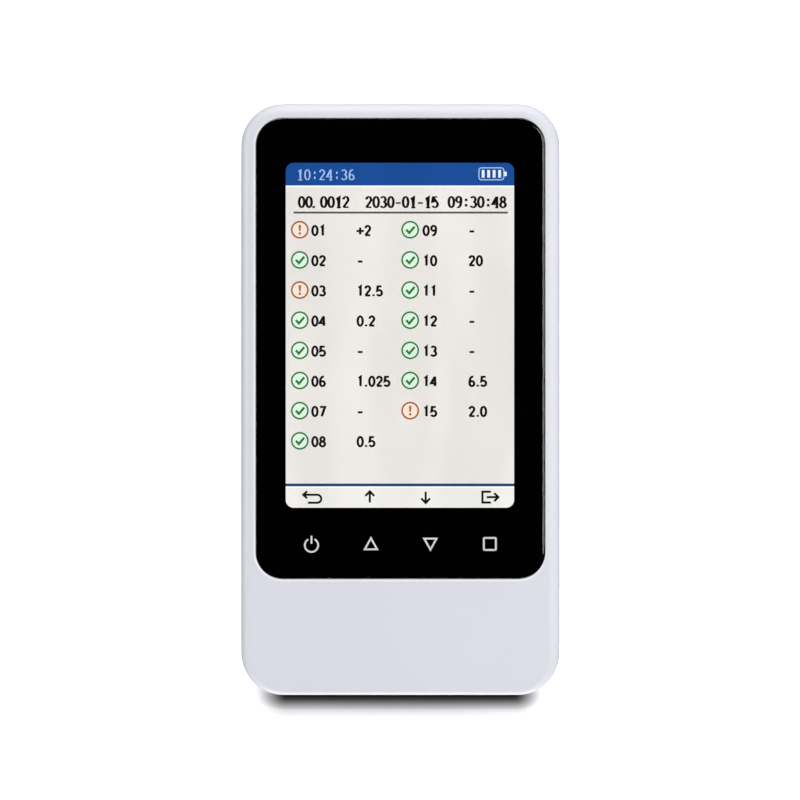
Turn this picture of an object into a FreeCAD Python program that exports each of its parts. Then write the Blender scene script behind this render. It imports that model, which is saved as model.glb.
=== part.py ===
"""Handheld urine strip analyzer: a parametric FreeCAD document, in millimetres.

The analyzer lies on its back on four rubber feet. +Z is up, out of the display, +Y runs to the
upper end of the display and +X to its right. The origin is on the resting plane, under the middle
of the case. A motor-driven tray leaves the lower end of the case, towards -Y.

The stack is worked out from the floor of the rear shell upwards, and the outline from the display
window outwards, so the case follows what it holds.
"""

import FreeCAD, Part
import math
import os
import re
from fcgear import fcgear, involute

doc = FreeCAD.newDocument("urine_analyzer")

# ---------------------------------------------------------------- driving dimensions

SIZES = {
    # display window and cover glass
    "window_width": 48.96,  # active width of a 3.5 inch panel
    "window_length": 73.44,  # active length of the same panel
    "glass_side": 6.52,  # black border beside the window
    "window_drop": 9.7,  # black border above the window
    "key_band": 15.36,  # black border below the window, with the touch keys
    "glass_thickness": 1.1,
    "glass_gap": 0.15,  # between the glass and its recess
    "glass_chamfer": 0.3,
    "touch_thickness": 0.4,
    "bond_thickness": 0.3,
    "bond_inset": 0.8,  # the adhesive stays this far inside the glass outline
    "window_clear": 0.4,  # the adhesive stays this far outside the window
    # case
    "glass_margin": 3.0,  # rim beside and above the glass
    "chin_length": 24.5,  # bare face below the glass
    "corner_radius": 9.0,
    "wall": 2.0,
    "rim_round": 2.4,
    "chin_round": 0.8,
    "rear_round": 2.6,
    "recess_chamfer": 0.2,
    "shelf_thickness": 1.4,
    "rear_depth": 12.0,  # height of the rear shell's side wall
    "parting_groove": 0.4,
    "lip_height": 1.5,
    "lip_thickness": 0.9,
    "lip_gap": 0.1,
    "foot_stand": 0.7,
    "foot_sink": 0.7,
    "foot_radius": 4.0,
    "foot_inset": 9.0,
    "foot_set_back": 19.0,
    "label_width": 40.0,
    "label_length": 26.0,
    "label_depth": 0.3,
    "label_radius": 2.0,
    "sound_hole_radius": 0.6,
    "sound_hole_pitch": 2.4,
    # case screws
    "screw_margin": 0.8,  # between a post and the inner face of the wall
    "post_radius": 3.2,
    "boss_radius": 2.6,
    "screw_recess": 3.0,  # depth of the counterbore from the rear face
    "screw_head_radius": 2.1,
    "screw_head_height": 1.5,
    "screw_head_gap": 0.25,
    "screw_radius": 1.15,
    "screw_hole_gap": 0.2,
    "screw_reach": 9.0,  # thread length inside the front shell's boss
    # small screws that hold the inner pieces
    "pilot_radius": 0.8,
    "small_head_radius": 1.6,
    "small_head_height": 1.0,
    "small_hole_gap": 0.25,
    "small_screw_depth": 3.4,
    "small_post_radius": 2.0,
    # display module
    "lcd_side": 2.8,
    "lcd_head": 2.8,
    "lcd_chin": 6.8,
    "lcd_panel_thickness": 1.1,
    "lcd_light_thickness": 1.9,
    "lcd_gap": 0.3,
    "ribbon_thickness": 0.2,
    "lcd_ribbon_width": 16.0,
    "lcd_ribbon_offset": 6.5,  # to the right of the middle
    "lcd_ribbon_end": 9.0,  # past the display's lower edge, on the board
    "reader_ribbon_width": 6.0,
    "reader_ribbon_end": 4.0,  # overlap with either board
    "ribbon_room": 2.0,  # between the reader and the main board
    # boards and battery
    "board_thickness": 1.6,
    "board_gap": 1.4,  # between the display and the board
    "board_edge": 0.4,
    "chip_space": 2.9,  # between the battery and the board
    "lead_radius": 0.45,
    "lead_spacing": 1.7,
    "lead_reach": 2.4,  # how far the leads swing out from the cell
    "lead_turn": 1.1,
    "plug_width": 4.5,
    "plug_length": 5.0,
    "plug_height": 2.6,
    "plug_gap": 2.0,  # beside the battery
    "plug_set_back": 6.0,  # behind the battery's lower end
    "socket_width": 7.6,
    "socket_height": 2.6,
    "socket_depth": 6.0,
    "socket_wall": 0.35,
    "socket_sink": 0.4,
    "socket_gap": 0.25,
    "tongue_side": 3.2,  # the board's tongue beside the socket
    "chip_set_back": 10.0,  # from the battery's lower end to the processor
    "chip_spacing": 3.0,
    "processor_width": 14.0,
    "processor_length": 14.0,
    "processor_height": 1.4,
    "memory_width": 8.0,
    "memory_length": 6.0,
    "memory_height": 1.0,
    "driver_width": 5.0,
    "driver_length": 6.0,
    "driver_height": 1.2,
    "regulator_width": 4.0,
    "regulator_length": 3.0,
    "regulator_height": 1.1,
    "radio_width": 16.0,
    "radio_length": 12.0,
    "radio_height": 2.0,
    "radio_offset": 8.0,  # to the right of the middle
    "radio_set_back": 5.0,  # from the board's upper end
    "buzzer_radius": 4.5,
    "buzzer_height": 2.2,
    "battery_width": 40.0,
    "battery_length": 60.0,
    "battery_thickness": 6.0,
    "battery_radius": 2.0,
    "cradle_thickness": 1.0,
    "cradle_rim": 1.0,
    "cradle_rim_height": 3.0,
    "cradle_gap": 1.0,
    "battery_play": 0.3,
    # tray and its guide
    "guide_base": 1.0,
    "rail_thickness": 1.5,
    "rail_rise": 0.4,
    "tray_width": 16.0,
    "tray_thickness": 4.0,
    "tray_clear": 0.2,  # under the tray
    "tray_side": 0.25,  # beside the tray
    "tray_rear_room": 11.0,
    "holder_width": 11.0,
    "holder_depth": 2.2,
    "holder_margin": 2.0,
    "holder_play": 0.2,
    "groove_width": 5.4,
    "groove_depth": 1.0,
    "drain_depth": 0.5,
    "tile_length": 5.0,
    "tile_thickness": 0.8,
    "ear_rise": 2.6,  # top of the guide's screw ears above its base
    "ear_thickness": 1.2,
    "ear_gap": 0.5,  # between a rail and a guide post
    "tile_margin": 2.0,
    "front_side": 4.0,  # the front reaches this far beside the tray
    "front_rise": 2.3,  # and this far above it
    "front_lift": 0.5,
    "front_gap": 0.25,
    "flag_length": 4.0,
    "flag_thickness": 1.0,
    "flag_height": 1.8,
    "sensor_arm": 3.5,
    "sensor_gap": 0.8,
    # drive
    "gear_module": 0.5,
    "pressure_angle": 25.0,
    "drive_teeth": 14,
    "wheel_teeth": 30,
    "pinion_teeth": 12,
    "gear_slack": 0.12,
    "wheel_clear": 1.0,  # between the wheel and the lower end wall
    "gear_lift": 0.15,
    "wheel_gap": 0.3,
    "wheel_thickness": 1.5,
    "axle_radius": 1.0,
    "running_gap": 0.05,
    "motor_angle": 50.0,
    "motor_radius": 7.5,
    "motor_height": 9.0,
    "motor_skin": 0.6,
    "shaft_radius": 0.75,
    "magnet_radius": 3.6,
    "coil_gap": 0.4,
    "plate_thickness": 1.0,
    "plate_gap": 0.3,
    "plate_post_gap": 0.8,  # between the motor and a post
    "upper_post_angle": 65.0,
    "lower_post_angle": -50.0,
    # reader
    "reader_gap": 0.4,
    "reader_length": 14.0,
    "reader_height": 9.5,
    "reader_bore": 2.0,
    "reader_board_thickness": 1.0,
    "lens_radius": 2.8,
    "lens_thickness": 1.2,
    "lamp_radius": 1.1,
    "lamp_gap": 0.2,
    "lamp_height": 2.5,
    "lamp_spread": 4.4,
}

sheet = doc.addObject("Spreadsheet::Sheet", "Sizes")
for row, (alias, value) in enumerate(SIZES.items(), start=1):
    sheet.set(f"A{row}", alias)
    sheet.set(f"B{row}", str(value))
    sheet.setAlias(f"B{row}", alias)
doc.recompute()

# ---------------------------------------------------------------- places worked out from them

LAYOUT = {
    # outline
    "glass_width": "window_width + 2 * glass_side",
    "glass_radius": "corner_radius - glass_margin",
    "glass_length": "window_drop + window_length + key_band",
    "case_width": "glass_width + 2 * glass_margin",
    "case_length": "glass_length + glass_margin + chin_length",
    "half_width": "case_width / 2",
    "half_length": "case_length / 2",
    "inner_width": "case_width - 2 * wall",
    "inner_half": "half_width - wall",
    "inner_end": "half_length - wall",
    # stack from the resting plane upwards
    "floor_top": "foot_stand + wall",
    "split_height": "foot_stand + rear_depth",
    "guide_top": "floor_top + guide_base",
    "tray_low": "guide_top + tray_clear",
    "tray_high": "tray_low + tray_thickness",
    "rail_high": "tray_high + rail_rise",
    "cradle_high": "rail_high + cradle_thickness",
    "battery_high": "cradle_high + battery_thickness",
    "board_low": "battery_high + chip_space",
    "board_high": "board_low + board_thickness",
    "lcd_low": "board_high + board_gap",
    "panel_low": "lcd_low + lcd_light_thickness",
    "bond_low": "panel_low + lcd_panel_thickness",
    "touch_low": "bond_low + bond_thickness",
    "glass_low": "touch_low + touch_thickness",
    "case_top": "glass_low + glass_thickness",
    "ribbon_reach": "(panel_low + lcd_panel_thickness / 2 - board_high) / 2",
    "ceiling": "case_top - wall",
    "shelf_low": "bond_low - shelf_thickness",
    # along the case
    "glass_front": "chin_length - half_length",
    "glass_rear": "half_length - glass_margin",
    "window_rear": "glass_rear - window_drop",
    "window_front": "window_rear - window_length",
    "lcd_width": "window_width + 2 * lcd_side",
    "lcd_front": "window_front - lcd_chin",
    "lcd_length": "lcd_chin + window_length + lcd_head",
    "screw_inset": "wall + screw_margin + post_radius",
    "screw_x": "half_width - screw_inset",
    "screw_y": "half_length - screw_inset",
    "head_seat": "foot_stand + screw_recess",
    "pilot_depth": "small_screw_depth",
    # tray and guide
    "rail_inner": "tray_width / 2 + tray_side",
    "rail_outer": "rail_inner + rail_thickness",
    "tray_front_end": "wall - half_length",
    "tray_rear_end": "inner_end - tray_rear_room",
    "holder_low": "tray_high - holder_depth",
    "holder_front": "tray_front_end + holder_margin",
    "holder_rear": "tray_rear_end - holder_margin",
    "holder_high": "tray_high - holder_play",
    "flag_low": "tray_high - flag_height",
    "tile_rear": "holder_rear - tile_margin",
    "tile_front": "tile_rear - tile_length",
    "guide_rear": "tray_rear_end + flag_length + tray_clear + rail_thickness",
    "ear_high": "guide_top + ear_rise",
    "ear_low": "ear_high - ear_thickness",
    "front_width": "tray_width + 2 * front_side",
    "front_low": "floor_top + front_lift",
    "front_high": "tray_high + front_rise",
    # drive
    "rack_pitch_x": "tray_width / 2 - gear_module",
    "gear_x": "rack_pitch_x + gear_module * drive_teeth / 2 + gear_slack",
    "drive_outer": "gear_module * (drive_teeth / 2 + 1)",
    "wheel_outer": "gear_module * (wheel_teeth / 2 + 1)",
    "gear_y": "wheel_outer + wheel_clear - inner_end",
    "motor_reach": "gear_module * (wheel_teeth + pinion_teeth) / 2 + gear_slack",
    "motor_x": "gear_x + motor_reach * cos(motor_angle)",
    "motor_y": "gear_y + motor_reach * sin(motor_angle)",
    "wheel_low": "rail_high + wheel_gap",
    "wheel_high": "wheel_low + wheel_thickness",
    "plate_low": "wheel_high + plate_gap",
    "plate_high": "plate_low + plate_thickness",
    "motor_high": "plate_high + motor_height",
    "plate_post_reach": "motor_radius + plate_post_gap + small_post_radius",
    "plate_arm_width": "2 * (small_post_radius + plate_gap)",
    # reader
    "reader_front": "gear_y + wheel_outer + reader_gap",
    "reader_rear": "reader_front + reader_length",
    "reader_y": "reader_front + reader_length / 2",
    "reader_high": "rail_high + reader_height",
    "travel": "tile_front + tile_length / 2 - reader_y",
    # cradle and board
    "cradle_front": "reader_rear + cradle_gap",
    "battery_front": "cradle_front + cradle_rim + battery_play",
    "battery_rear": "battery_front + battery_length",
    "cradle_rear": "battery_rear + battery_play + cradle_rim",
    "cradle_screw_x": "battery_width / 2 + battery_play + cradle_rim + small_post_radius",
    "board_front": "reader_rear + ribbon_room",
    "board_rear": "half_length - screw_inset - boss_radius - board_edge",
    "board_half": "inner_half - board_edge",
    "board_screw_x": "(lcd_width / 2 + lcd_gap + inner_half) / 2",
    "guide_screw_x": "rail_outer + small_post_radius + ear_gap",
    "plug_x": "battery_width / 2 + plug_gap",
    "plug_front": "battery_front + plug_set_back",
    "chip_row": "battery_front + chip_set_back",
    "driver_row": "chip_row + processor_length + 2 * chip_spacing",
    "buzzer_x": "-guide_screw_x - buzzer_radius",
    "buzzer_y": "board_rear - buzzer_radius - board_edge",
}

layout = doc.addObject("App::FeaturePython", "Layout")
WORD = re.compile(r"[a-z][a-z_]*[a-z]")


def linked(text):
    """The expression with every size and place written as a reference to its object."""

    def reference(match):
        word = match.group(0)
        if word in SIZES:
            return "Sizes." + word
        if word in LAYOUT:
            return "Layout." + word
        return word

    return WORD.sub(reference, text)


def bind(item, rules):
    """Binds each named property of item to an expression of sizes and places."""
    for name, text in rules.items():
        item.setExpression(name, linked(text))
    return item


for name in LAYOUT:
    layout.addProperty("App::PropertyFloat", name)
bind(layout, LAYOUT)
doc.recompute()


def value(name):
    """The number that a size or a place has now."""
    if name in LAYOUT:
        return float(getattr(layout, name))
    return float(sheet.get(name))


# ---------------------------------------------------------------- building blocks

PAST = "1"  # how far a cutting tool runs past the face that it opens
ROOT = "0.5"  # how deep a post or boss is sunk into the wall that it grows from
SAME_PLANE = 1e-4

SIDES = {"left": "-", "right": ""}
ENDS = {"lower": "-", "upper": ""}
CORNERS = [(f"{side}_{end}", SIDES[side], ENDS[end]) for side in SIDES for end in ENDS]


def block(name, x, y, z, width, length, height):
    """A Part::Box with its low corner at x, y, z. All six are expressions."""
    item = doc.addObject("Part::Box", name)
    sides = {"Length": width, "Width": length, "Height": height}
    corner = {"Placement.Base.x": x, "Placement.Base.y": y, "Placement.Base.z": z}
    return bind(item, {**sides, **corner})


def wide_block(name, width, y, z, length, height):
    """A box centred on the case's middle plane."""
    return block(name, f"-({width}) / 2", y, z, width, length, height)


def rod(name, x, y, z, radius, height):
    """An upright Part::Cylinder whose foot is at x, y, z."""
    item = doc.addObject("Part::Cylinder", name)
    sides = {"Radius": radius, "Height": height}
    foot = {"Placement.Base.x": x, "Placement.Base.y": y, "Placement.Base.z": z}
    return bind(item, {**sides, **foot})


def rods(name, places, z, radius, height):
    """One upright rod at each (label, x, y) of places."""
    return [rod(f"{name}_{label}", x, y, z, radius, height) for label, x, y in places]


def rounded(name, width, y, z, length, height, radius):
    """A PartDesign body: a centred box whose upright edges have one radius."""
    body = doc.addObject("PartDesign::Body", name)
    base = body.newObject("PartDesign::AdditiveBox", name + "_box")
    bind(base, {
        "Length": width,
        "Width": length,
        "Height": height,
        "Placement.Base.x": f"-({width}) / 2",
        "Placement.Base.y": y,
        "Placement.Base.z": z,
    })
    doc.recompute()
    upright = [
        f"Edge{number}"
        for number, edge in enumerate(base.Shape.Edges, start=1)
        if abs(edge.Vertexes[0].Z - edge.Vertexes[1].Z) > SAME_PLANE
    ]
    corners = body.newObject("PartDesign::Fillet", name + "_corners")
    corners.Base = (base, upright)
    bind(corners, {"Radius": radius})
    body.Tip = corners
    return body


def case_block(name, inset, z, height):
    """A rounded box that follows the case outline at an inset."""
    return rounded(
        name,
        f"case_width - 2 * ({inset})",
        f"({inset}) - half_length",
        z,
        f"case_length - 2 * ({inset})",
        height,
        f"corner_radius - ({inset})",
    )


def fuse(name, parts):
    """One solid out of several that touch, or one tool out of several."""
    item = doc.addObject("Part::MultiFuse", name)
    item.Shapes = list(parts)
    return item


def group(name, parts):
    """Several separate solids in one node."""
    item = doc.addObject("Part::Compound", name)
    item.Links = list(parts)
    return item


def cut(name, base, tools):
    """The base less every tool."""
    item = doc.addObject("Part::Cut", name)
    item.Base = base
    item.Tool = tools[0] if len(tools) == 1 else fuse(name + "_tools", tools)
    return item


def common(name, first, second):
    """What two solids share."""
    item = doc.addObject("Part::Common", name)
    item.Base = first
    item.Tool = second
    return item


def shaped(name, shape):
    """A Part::Feature that holds a shape made from the current sizes."""
    item = doc.addObject("Part::Feature", name)
    item.Shape = shape
    return item


def ring(name, outer, inner, z, height):
    """A band that follows the case outline between two insets."""
    return cut(
        name,
        case_block(name + "_outer", outer, z, height),
        [case_block(name + "_inner", inner, z, height)],
    )


def broken_edges(name, base, size, wanted):
    """A Part::Chamfer on each edge of base that lies in the top plane and that wanted() takes."""
    doc.recompute()
    top = value("case_top")
    edges = []
    for number, edge in enumerate(base.Shape.Edges, start=1):
        points = [vertex.Point for vertex in edge.Vertexes]
        in_top = all(abs(point.z - top) < SAME_PLANE for point in points)
        if in_top and all(wanted(point) for point in points):
            edges.append((number, value(size), value(size)))
    item = doc.addObject("Part::Chamfer", name)
    item.Base = base
    item.Edges = edges
    return item


def cross_recess(name, x, y, z, radius, height):
    """Two crossed slots for a screwdriver, as one cutting tool."""
    arm = f"0.3 * {radius}"
    reach = f"1.3 * {radius}"
    along = block(name + "_along", f"{x} - {reach} / 2", f"{y} - {arm} / 2", z, reach, arm, height)
    across = block(name + "_across", f"{x} - {arm} / 2", f"{y} - {reach} / 2", z, arm, reach, height)
    return fuse(name, [along, across])


def small_screw(name, x, y, seat, down=True):
    """A pan-head screw of the inner pieces. Its head sits at seat, above it where it points down."""
    half_head = "small_head_height / 2"
    head_low = seat if down else f"{seat} - small_head_height"
    shank_low = f"{seat} - small_screw_depth" if down else seat
    recess_low = f"{seat} + {half_head}" if down else head_low
    head = rod(name + "_head", x, y, head_low, "small_head_radius", "small_head_height")
    shank = rod(name + "_shank", x, y, shank_low, "pilot_radius", "small_screw_depth")
    recess = cross_recess(name + "_recess", x, y, recess_low, "small_head_radius", half_head)
    return cut(name, fuse(name + "_blank", [head, shank]), [recess])


def small_screws(name, places, seat, down=True):
    """One small screw at each place, as one node."""
    return group(name, [small_screw(f"{name}_{label}", x, y, seat, down) for label, x, y in places])


# ---------------------------------------------------------------- where the screws and feet stand

CASE_SCREWS = [(label, f"{sx}screw_x", f"{sy}screw_y") for label, sx, sy in CORNERS]
FEET = [
    (label, f"{sx}(half_width - foot_inset)", f"{sy}(half_length - foot_set_back)")
    for label, sx, sy in CORNERS
]


def pairs(x, lower, upper):
    """Four places: left and right of the middle at x, at a lower and an upper y."""
    return [
        (f"{side}_{end}", sign + x, y)
        for side, sign in SIDES.items()
        for end, y in (("lower", lower), ("upper", upper))
    ]


BOARD_SCREWS = pairs(
    "board_screw_x", "board_front + 2 * small_post_radius", "board_rear - 4 * small_post_radius"
)
GUIDE_SCREWS = pairs(
    "guide_screw_x", "cradle_front + 3 * small_post_radius", "cradle_rear - 3 * small_post_radius"
)
CRADLE_SCREWS = pairs(
    "cradle_screw_x", "cradle_front + 1.5 * small_post_radius", "cradle_rear - 1.5 * small_post_radius"
)
PLATE_SCREWS = [
    (label, f"(motor_x + plate_post_reach * cos({angle}))", f"(motor_y + plate_post_reach * sin({angle}))")
    for label, angle in (("upper", "upper_post_angle"), ("lower", "lower_post_angle"))
]

# ---------------------------------------------------------------- case envelope


def case_envelope():
    """The outer form: rounded at the rear and at the rim, with a sharper edge at the chin."""
    plain = case_block("envelope_block", "0", "foot_stand", "case_top - foot_stand")
    doc.recompute()
    ledge = value("glass_margin") - value("glass_gap") - value("recess_chamfer")
    rim = min(value("rim_round"), 0.95 * ledge)
    edges = []
    for number, edge in enumerate(plain.Shape.Edges, start=1):
        first, last = (edge.valueAt(mark) for mark in (edge.FirstParameter, edge.LastParameter))
        if abs(first.z - last.z) > SAME_PLANE:
            continue
        if first.z < value("case_top") - SAME_PLANE:
            radii = [value("rear_round")] * 2
        else:
            chin_y = SAME_PLANE - value("half_length")
            radii = [value("chin_round") if end.y < chin_y else rim for end in (first, last)]
        edges.append((number, *radii))
    item = doc.addObject("Part::Fillet", "envelope")
    item.Base = plain
    item.Edges = edges
    return item


envelope = case_envelope()
cavity = case_block("cavity", "wall", "floor_top", "ceiling - floor_top")

# ---------------------------------------------------------------- front shell


def front_shell():
    """The upper housing: rim, chin, glass recess, screw bosses and the socket's opening."""
    upper = case_block("front_half", "0", "split_height", "case_top - split_height")
    skin = cut("front_skin", common("front_body", envelope, upper), [cavity])
    shelf_front = "(glass_front - wall)"
    shelf = rounded(
        "shelf",
        "inner_width + wall",
        shelf_front,
        "shelf_low",
        f"half_length - wall / 2 - {shelf_front}",
        "ceiling - shelf_low",
        "corner_radius - wall / 2",
    )
    board_boss = f"shelf_low - board_high + {ROOT}"
    bosses = rods("boss", CASE_SCREWS, "split_height", "boss_radius", f"ceiling - split_height + {ROOT}")
    bosses += rods("board_boss", BOARD_SCREWS, "board_high", "small_post_radius", board_boss)
    recess = rounded(
        "glass_recess",
        "glass_width + 2 * glass_gap",
        "glass_front - glass_gap",
        "bond_low",
        "glass_length + 2 * glass_gap",
        f"case_top - bond_low + {PAST}",
        "glass_radius + glass_gap",
    )
    lcd_opening = wide_block(
        "lcd_opening",
        "lcd_width + 2 * lcd_gap",
        "lcd_front - lcd_gap",
        "board_high",
        "lcd_length + 2 * lcd_gap",
        "bond_low - board_high",
    )
    ribbon_slot = block(
        "ribbon_slot",
        "lcd_ribbon_offset - lcd_ribbon_width / 2 - 1",
        "lcd_front - ribbon_reach - 2 * lcd_gap",
        "board_high",
        "lcd_ribbon_width + 2",
        f"ribbon_reach + 2 * lcd_gap + {PAST}",
        "bond_low - board_high",
    )
    rabbet = ring(
        "rabbet",
        "wall - lip_thickness - lip_gap",
        "wall + lip_gap",
        "split_height",
        "lip_height + lip_gap",
    )
    board_pilot = "small_screw_depth - board_thickness + lip_gap"
    pilots = rods("boss_pilot", CASE_SCREWS, "split_height", "screw_radius", "screw_reach")
    pilots += rods("board_pilot", BOARD_SCREWS, "board_high", "pilot_radius", board_pilot)
    socket_opening = wide_block(
        "socket_opening",
        "socket_width + 2 * socket_gap",
        f"inner_end - {PAST}",
        "board_high - socket_gap",
        f"wall + 2 * {PAST}",
        "socket_height + 2 * socket_gap",
    )
    openings = [recess, lcd_opening, ribbon_slot, rabbet, socket_opening]
    sharp = cut("front_shell_sharp", fuse("front_solid", [skin, shelf, *bosses]), openings + pilots)
    half = value("glass_width") / 2 + value("glass_gap") + SAME_PLANE
    low = value("glass_front") - value("glass_gap") - SAME_PLANE
    high = value("glass_rear") + value("glass_gap") + SAME_PLANE
    return broken_edges(
        "front_shell",
        sharp,
        "recess_chamfer",
        lambda point: abs(point.x) < half and low < point.y < high,
    )


# ---------------------------------------------------------------- rear shell


def rear_shell():
    """The lower housing: tray mouth, posts, screw counterbores, foot pockets and label recess."""
    lower = case_block("rear_half", "0", "foot_stand", "rear_depth")
    skin = cut("rear_skin", common("rear_body", envelope, lower), [cavity])
    lip = ring("lip", "wall - lip_thickness", "wall", f"split_height - {ROOT}", f"lip_height + {ROOT}")
    root = f"floor_top - {ROOT}"
    posts = rods("post", CASE_SCREWS, root, "post_radius", f"split_height - {root}")
    pilots = []
    inner_posts = (
        ("guide_post", GUIDE_SCREWS, "ear_low"),
        ("cradle_post", CRADLE_SCREWS, "rail_high"),
        ("plate_post", PLATE_SCREWS, "plate_low"),
    )
    for name, places, top in inner_posts:
        posts += rods(name, places, root, "small_post_radius", f"{top} - floor_top + {ROOT}")
        pilots += rods(f"{name}_pilot", places, f"{top} - pilot_depth", "pilot_radius", "pilot_depth")
    groove = ring(
        "parting_line", f"-{PAST}", "parting_groove", "split_height - parting_groove", "parting_groove"
    )
    mouth = wide_block(
        "mouth",
        "front_width + 2 * front_gap",
        f"-half_length - {PAST}",
        "front_low - front_gap",
        f"wall + 2 * {PAST}",
        "front_high - front_low + 2 * front_gap",
    )
    bore = "screw_head_radius + screw_head_gap"
    holes = rods("head_bore", CASE_SCREWS, f"foot_stand - {PAST}", bore, f"screw_recess + {PAST}")
    holes += rods(
        "screw_bore", CASE_SCREWS, "foot_stand", "screw_radius + screw_hole_gap", f"rear_depth + {PAST}"
    )
    holes += rods("foot_pocket", FEET, "0", "foot_radius", "foot_stand + foot_sink")
    sound_places = [
        (str(number), f"(buzzer_x + {step} * sound_hole_pitch)", "buzzer_y")
        for number, step in enumerate((-1, 0, 1), start=1)
    ]
    holes += rods("sound_hole", sound_places, "0", "sound_hole_radius", f"floor_top + {PAST}")
    label = rounded(
        "label_recess",
        "label_width",
        "-label_length / 2",
        "0",
        "label_length",
        "foot_stand + label_depth",
        "label_radius",
    )
    solid = fuse("rear_solid", [skin, lip, *posts])
    return cut("rear_shell", solid, [groove, mouth, label, *holes, *pilots])


def case_screws():
    """Four long screws from the rear, through the posts, into the front shell's bosses."""
    head_low = "(head_seat - screw_head_height)"
    shank = "split_height + 0.95 * screw_reach - head_seat"
    screws = []
    for label, x, y in CASE_SCREWS:
        parts = [
            rod(f"case_head_{label}", x, y, head_low, "screw_head_radius", "screw_head_height"),
            rod(f"case_shank_{label}", x, y, "head_seat", "screw_radius", shank),
        ]
        recess = cross_recess(
            f"case_cross_{label}", x, y, head_low, "screw_head_radius", "0.6 * screw_head_height"
        )
        screws.append(cut(f"case_screw_{label}", fuse(f"case_blank_{label}", parts), [recess]))
    return group("case_screws", screws)


def rubber_feet():
    """Four round feet, sunk half their height into the rear face."""
    return group("rubber_feet", rods("foot", FEET, "0", "foot_radius", "foot_stand + foot_sink"))


# ---------------------------------------------------------------- glass and display


def behind_glass(name, z, thickness):
    """A sheet of the glass's outline, a little smaller all round."""
    return rounded(
        name,
        "glass_width - 2 * bond_inset",
        "glass_front + bond_inset",
        z,
        "glass_length - 2 * bond_inset",
        thickness,
        "glass_radius - bond_inset",
    )


def cover_glass():
    """The flush front glass, chamfered round its upper edge."""
    outline = ("glass_pane", "glass_width", "glass_front", "glass_low", "glass_length", "glass_thickness")
    blank = rounded(*outline, "glass_radius")
    return broken_edges("cover_glass", blank, "glass_chamfer", lambda point: True)


def touch_sensor():
    """The clear touch film behind the whole glass. It reads the screen and the four key areas."""
    return behind_glass("touch_sensor", "touch_low", "touch_thickness")


def bond_frame():
    """The black adhesive frame that joins the glass to the shelf and to the display."""
    opening = wide_block(
        "bond_opening",
        "window_width + 2 * window_clear",
        "window_front - window_clear",
        f"bond_low - {PAST}",
        "window_length + 2 * window_clear",
        f"bond_thickness + 2 * {PAST}",
    )
    return cut("bond_frame", behind_glass("bond_tape", "bond_low", "bond_thickness"), [opening])


def lcd_panel():
    """The liquid crystal cell."""
    return wide_block(
        "lcd_panel", "lcd_width", "lcd_front", "panel_low", "lcd_length", "lcd_panel_thickness"
    )


def lcd_backlight():
    """The metal-backed light box that carries the cell."""
    return wide_block(
        "lcd_backlight", "lcd_width", "lcd_front", "lcd_low", "lcd_length", "lcd_light_thickness"
    )


def ribbon(name, edges, width, middle):
    """A flat flex, as wide as width about x = middle, swept along a path in the YZ plane."""
    half = value("ribbon_thickness") / 2
    start = edges[0].valueAt(edges[0].FirstParameter)
    corners = [(-1, -1), (1, -1), (1, 1), (-1, 1), (-1, -1)]
    section = Part.makePolygon([
        FreeCAD.Vector(middle + across * width / 2, start.y, start.z + up * half) for across, up in corners
    ])
    return shaped(name, Part.Wire(edges).makePipeShell([section], True, False))


def lcd_ribbon():
    """The display's flex: out of the cell's lower edge, round a half turn, onto the board."""
    x = value("lcd_ribbon_offset")
    high = value("panel_low") + value("lcd_panel_thickness") / 2
    low = value("board_high") + value("ribbon_thickness") / 2
    front = value("lcd_front")
    turn_y = front - value("lcd_gap")
    turn = Part.Arc(
        FreeCAD.Vector(x, turn_y, high),
        FreeCAD.Vector(x, turn_y - (high - low) / 2, (high + low) / 2),
        FreeCAD.Vector(x, turn_y, low),
    )
    end = FreeCAD.Vector(x, front + value("lcd_ribbon_end"), low)
    edges = [
        Part.LineSegment(FreeCAD.Vector(x, front, high), turn.StartPoint).toShape(),
        turn.toShape(),
        Part.LineSegment(turn.EndPoint, end).toShape(),
    ]
    return ribbon("lcd_ribbon", edges, value("lcd_ribbon_width"), x)


# ---------------------------------------------------------------- board and what it carries


def main_board():
    """The main circuit board, with a tongue that reaches the charging socket's opening."""
    plate = wide_block(
        "board_plate",
        "2 * board_half",
        "board_front",
        "board_low",
        "board_rear - board_front",
        "board_thickness",
    )
    tongue_start = f"(board_rear - {PAST})"
    tongue = wide_block(
        "board_tongue",
        "socket_width + 2 * tongue_side",
        tongue_start,
        "board_low",
        f"inner_end - board_edge - {tongue_start}",
        "board_thickness",
    )
    clearance = "pilot_radius + small_hole_gap"
    holes = rods(
        "board_hole", BOARD_SCREWS, f"board_low - {PAST}", clearance, f"board_thickness + 2 * {PAST}"
    )
    return cut("main_board", fuse("board_blank", [plate, tongue]), holes)


def charging_socket():
    """The charging and data socket: a metal shell open towards the upper end, with its tongue."""
    start = "(half_length - socket_sink - socket_depth)"
    shell = wide_block("socket_shell", "socket_width", start, "board_high", "socket_depth", "socket_height")
    hollow = wide_block(
        "socket_hollow",
        "socket_width - 2 * socket_wall",
        f"{start} + {PAST}",
        "board_high + socket_wall",
        "socket_depth",
        "socket_height - 2 * socket_wall",
    )
    tongue = wide_block(
        "socket_tongue",
        "0.55 * socket_width",
        f"{start} + {ROOT}",
        "board_high + 0.5 * socket_height",
        "0.75 * socket_depth",
        "0.25 * socket_height",
    )
    return fuse("charging_socket", [cut("socket_can", shell, [hollow]), tongue])


CHIPS = (
    # name, left side, lower end
    ("processor", "-processor_width / 2", "chip_row"),
    ("memory", "processor_width / 2 + chip_spacing", "chip_row"),
    ("driver", "-processor_width / 2", "driver_row"),
    ("regulator", "driver_width - processor_width / 2 + chip_spacing", "driver_row"),
)


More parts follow.
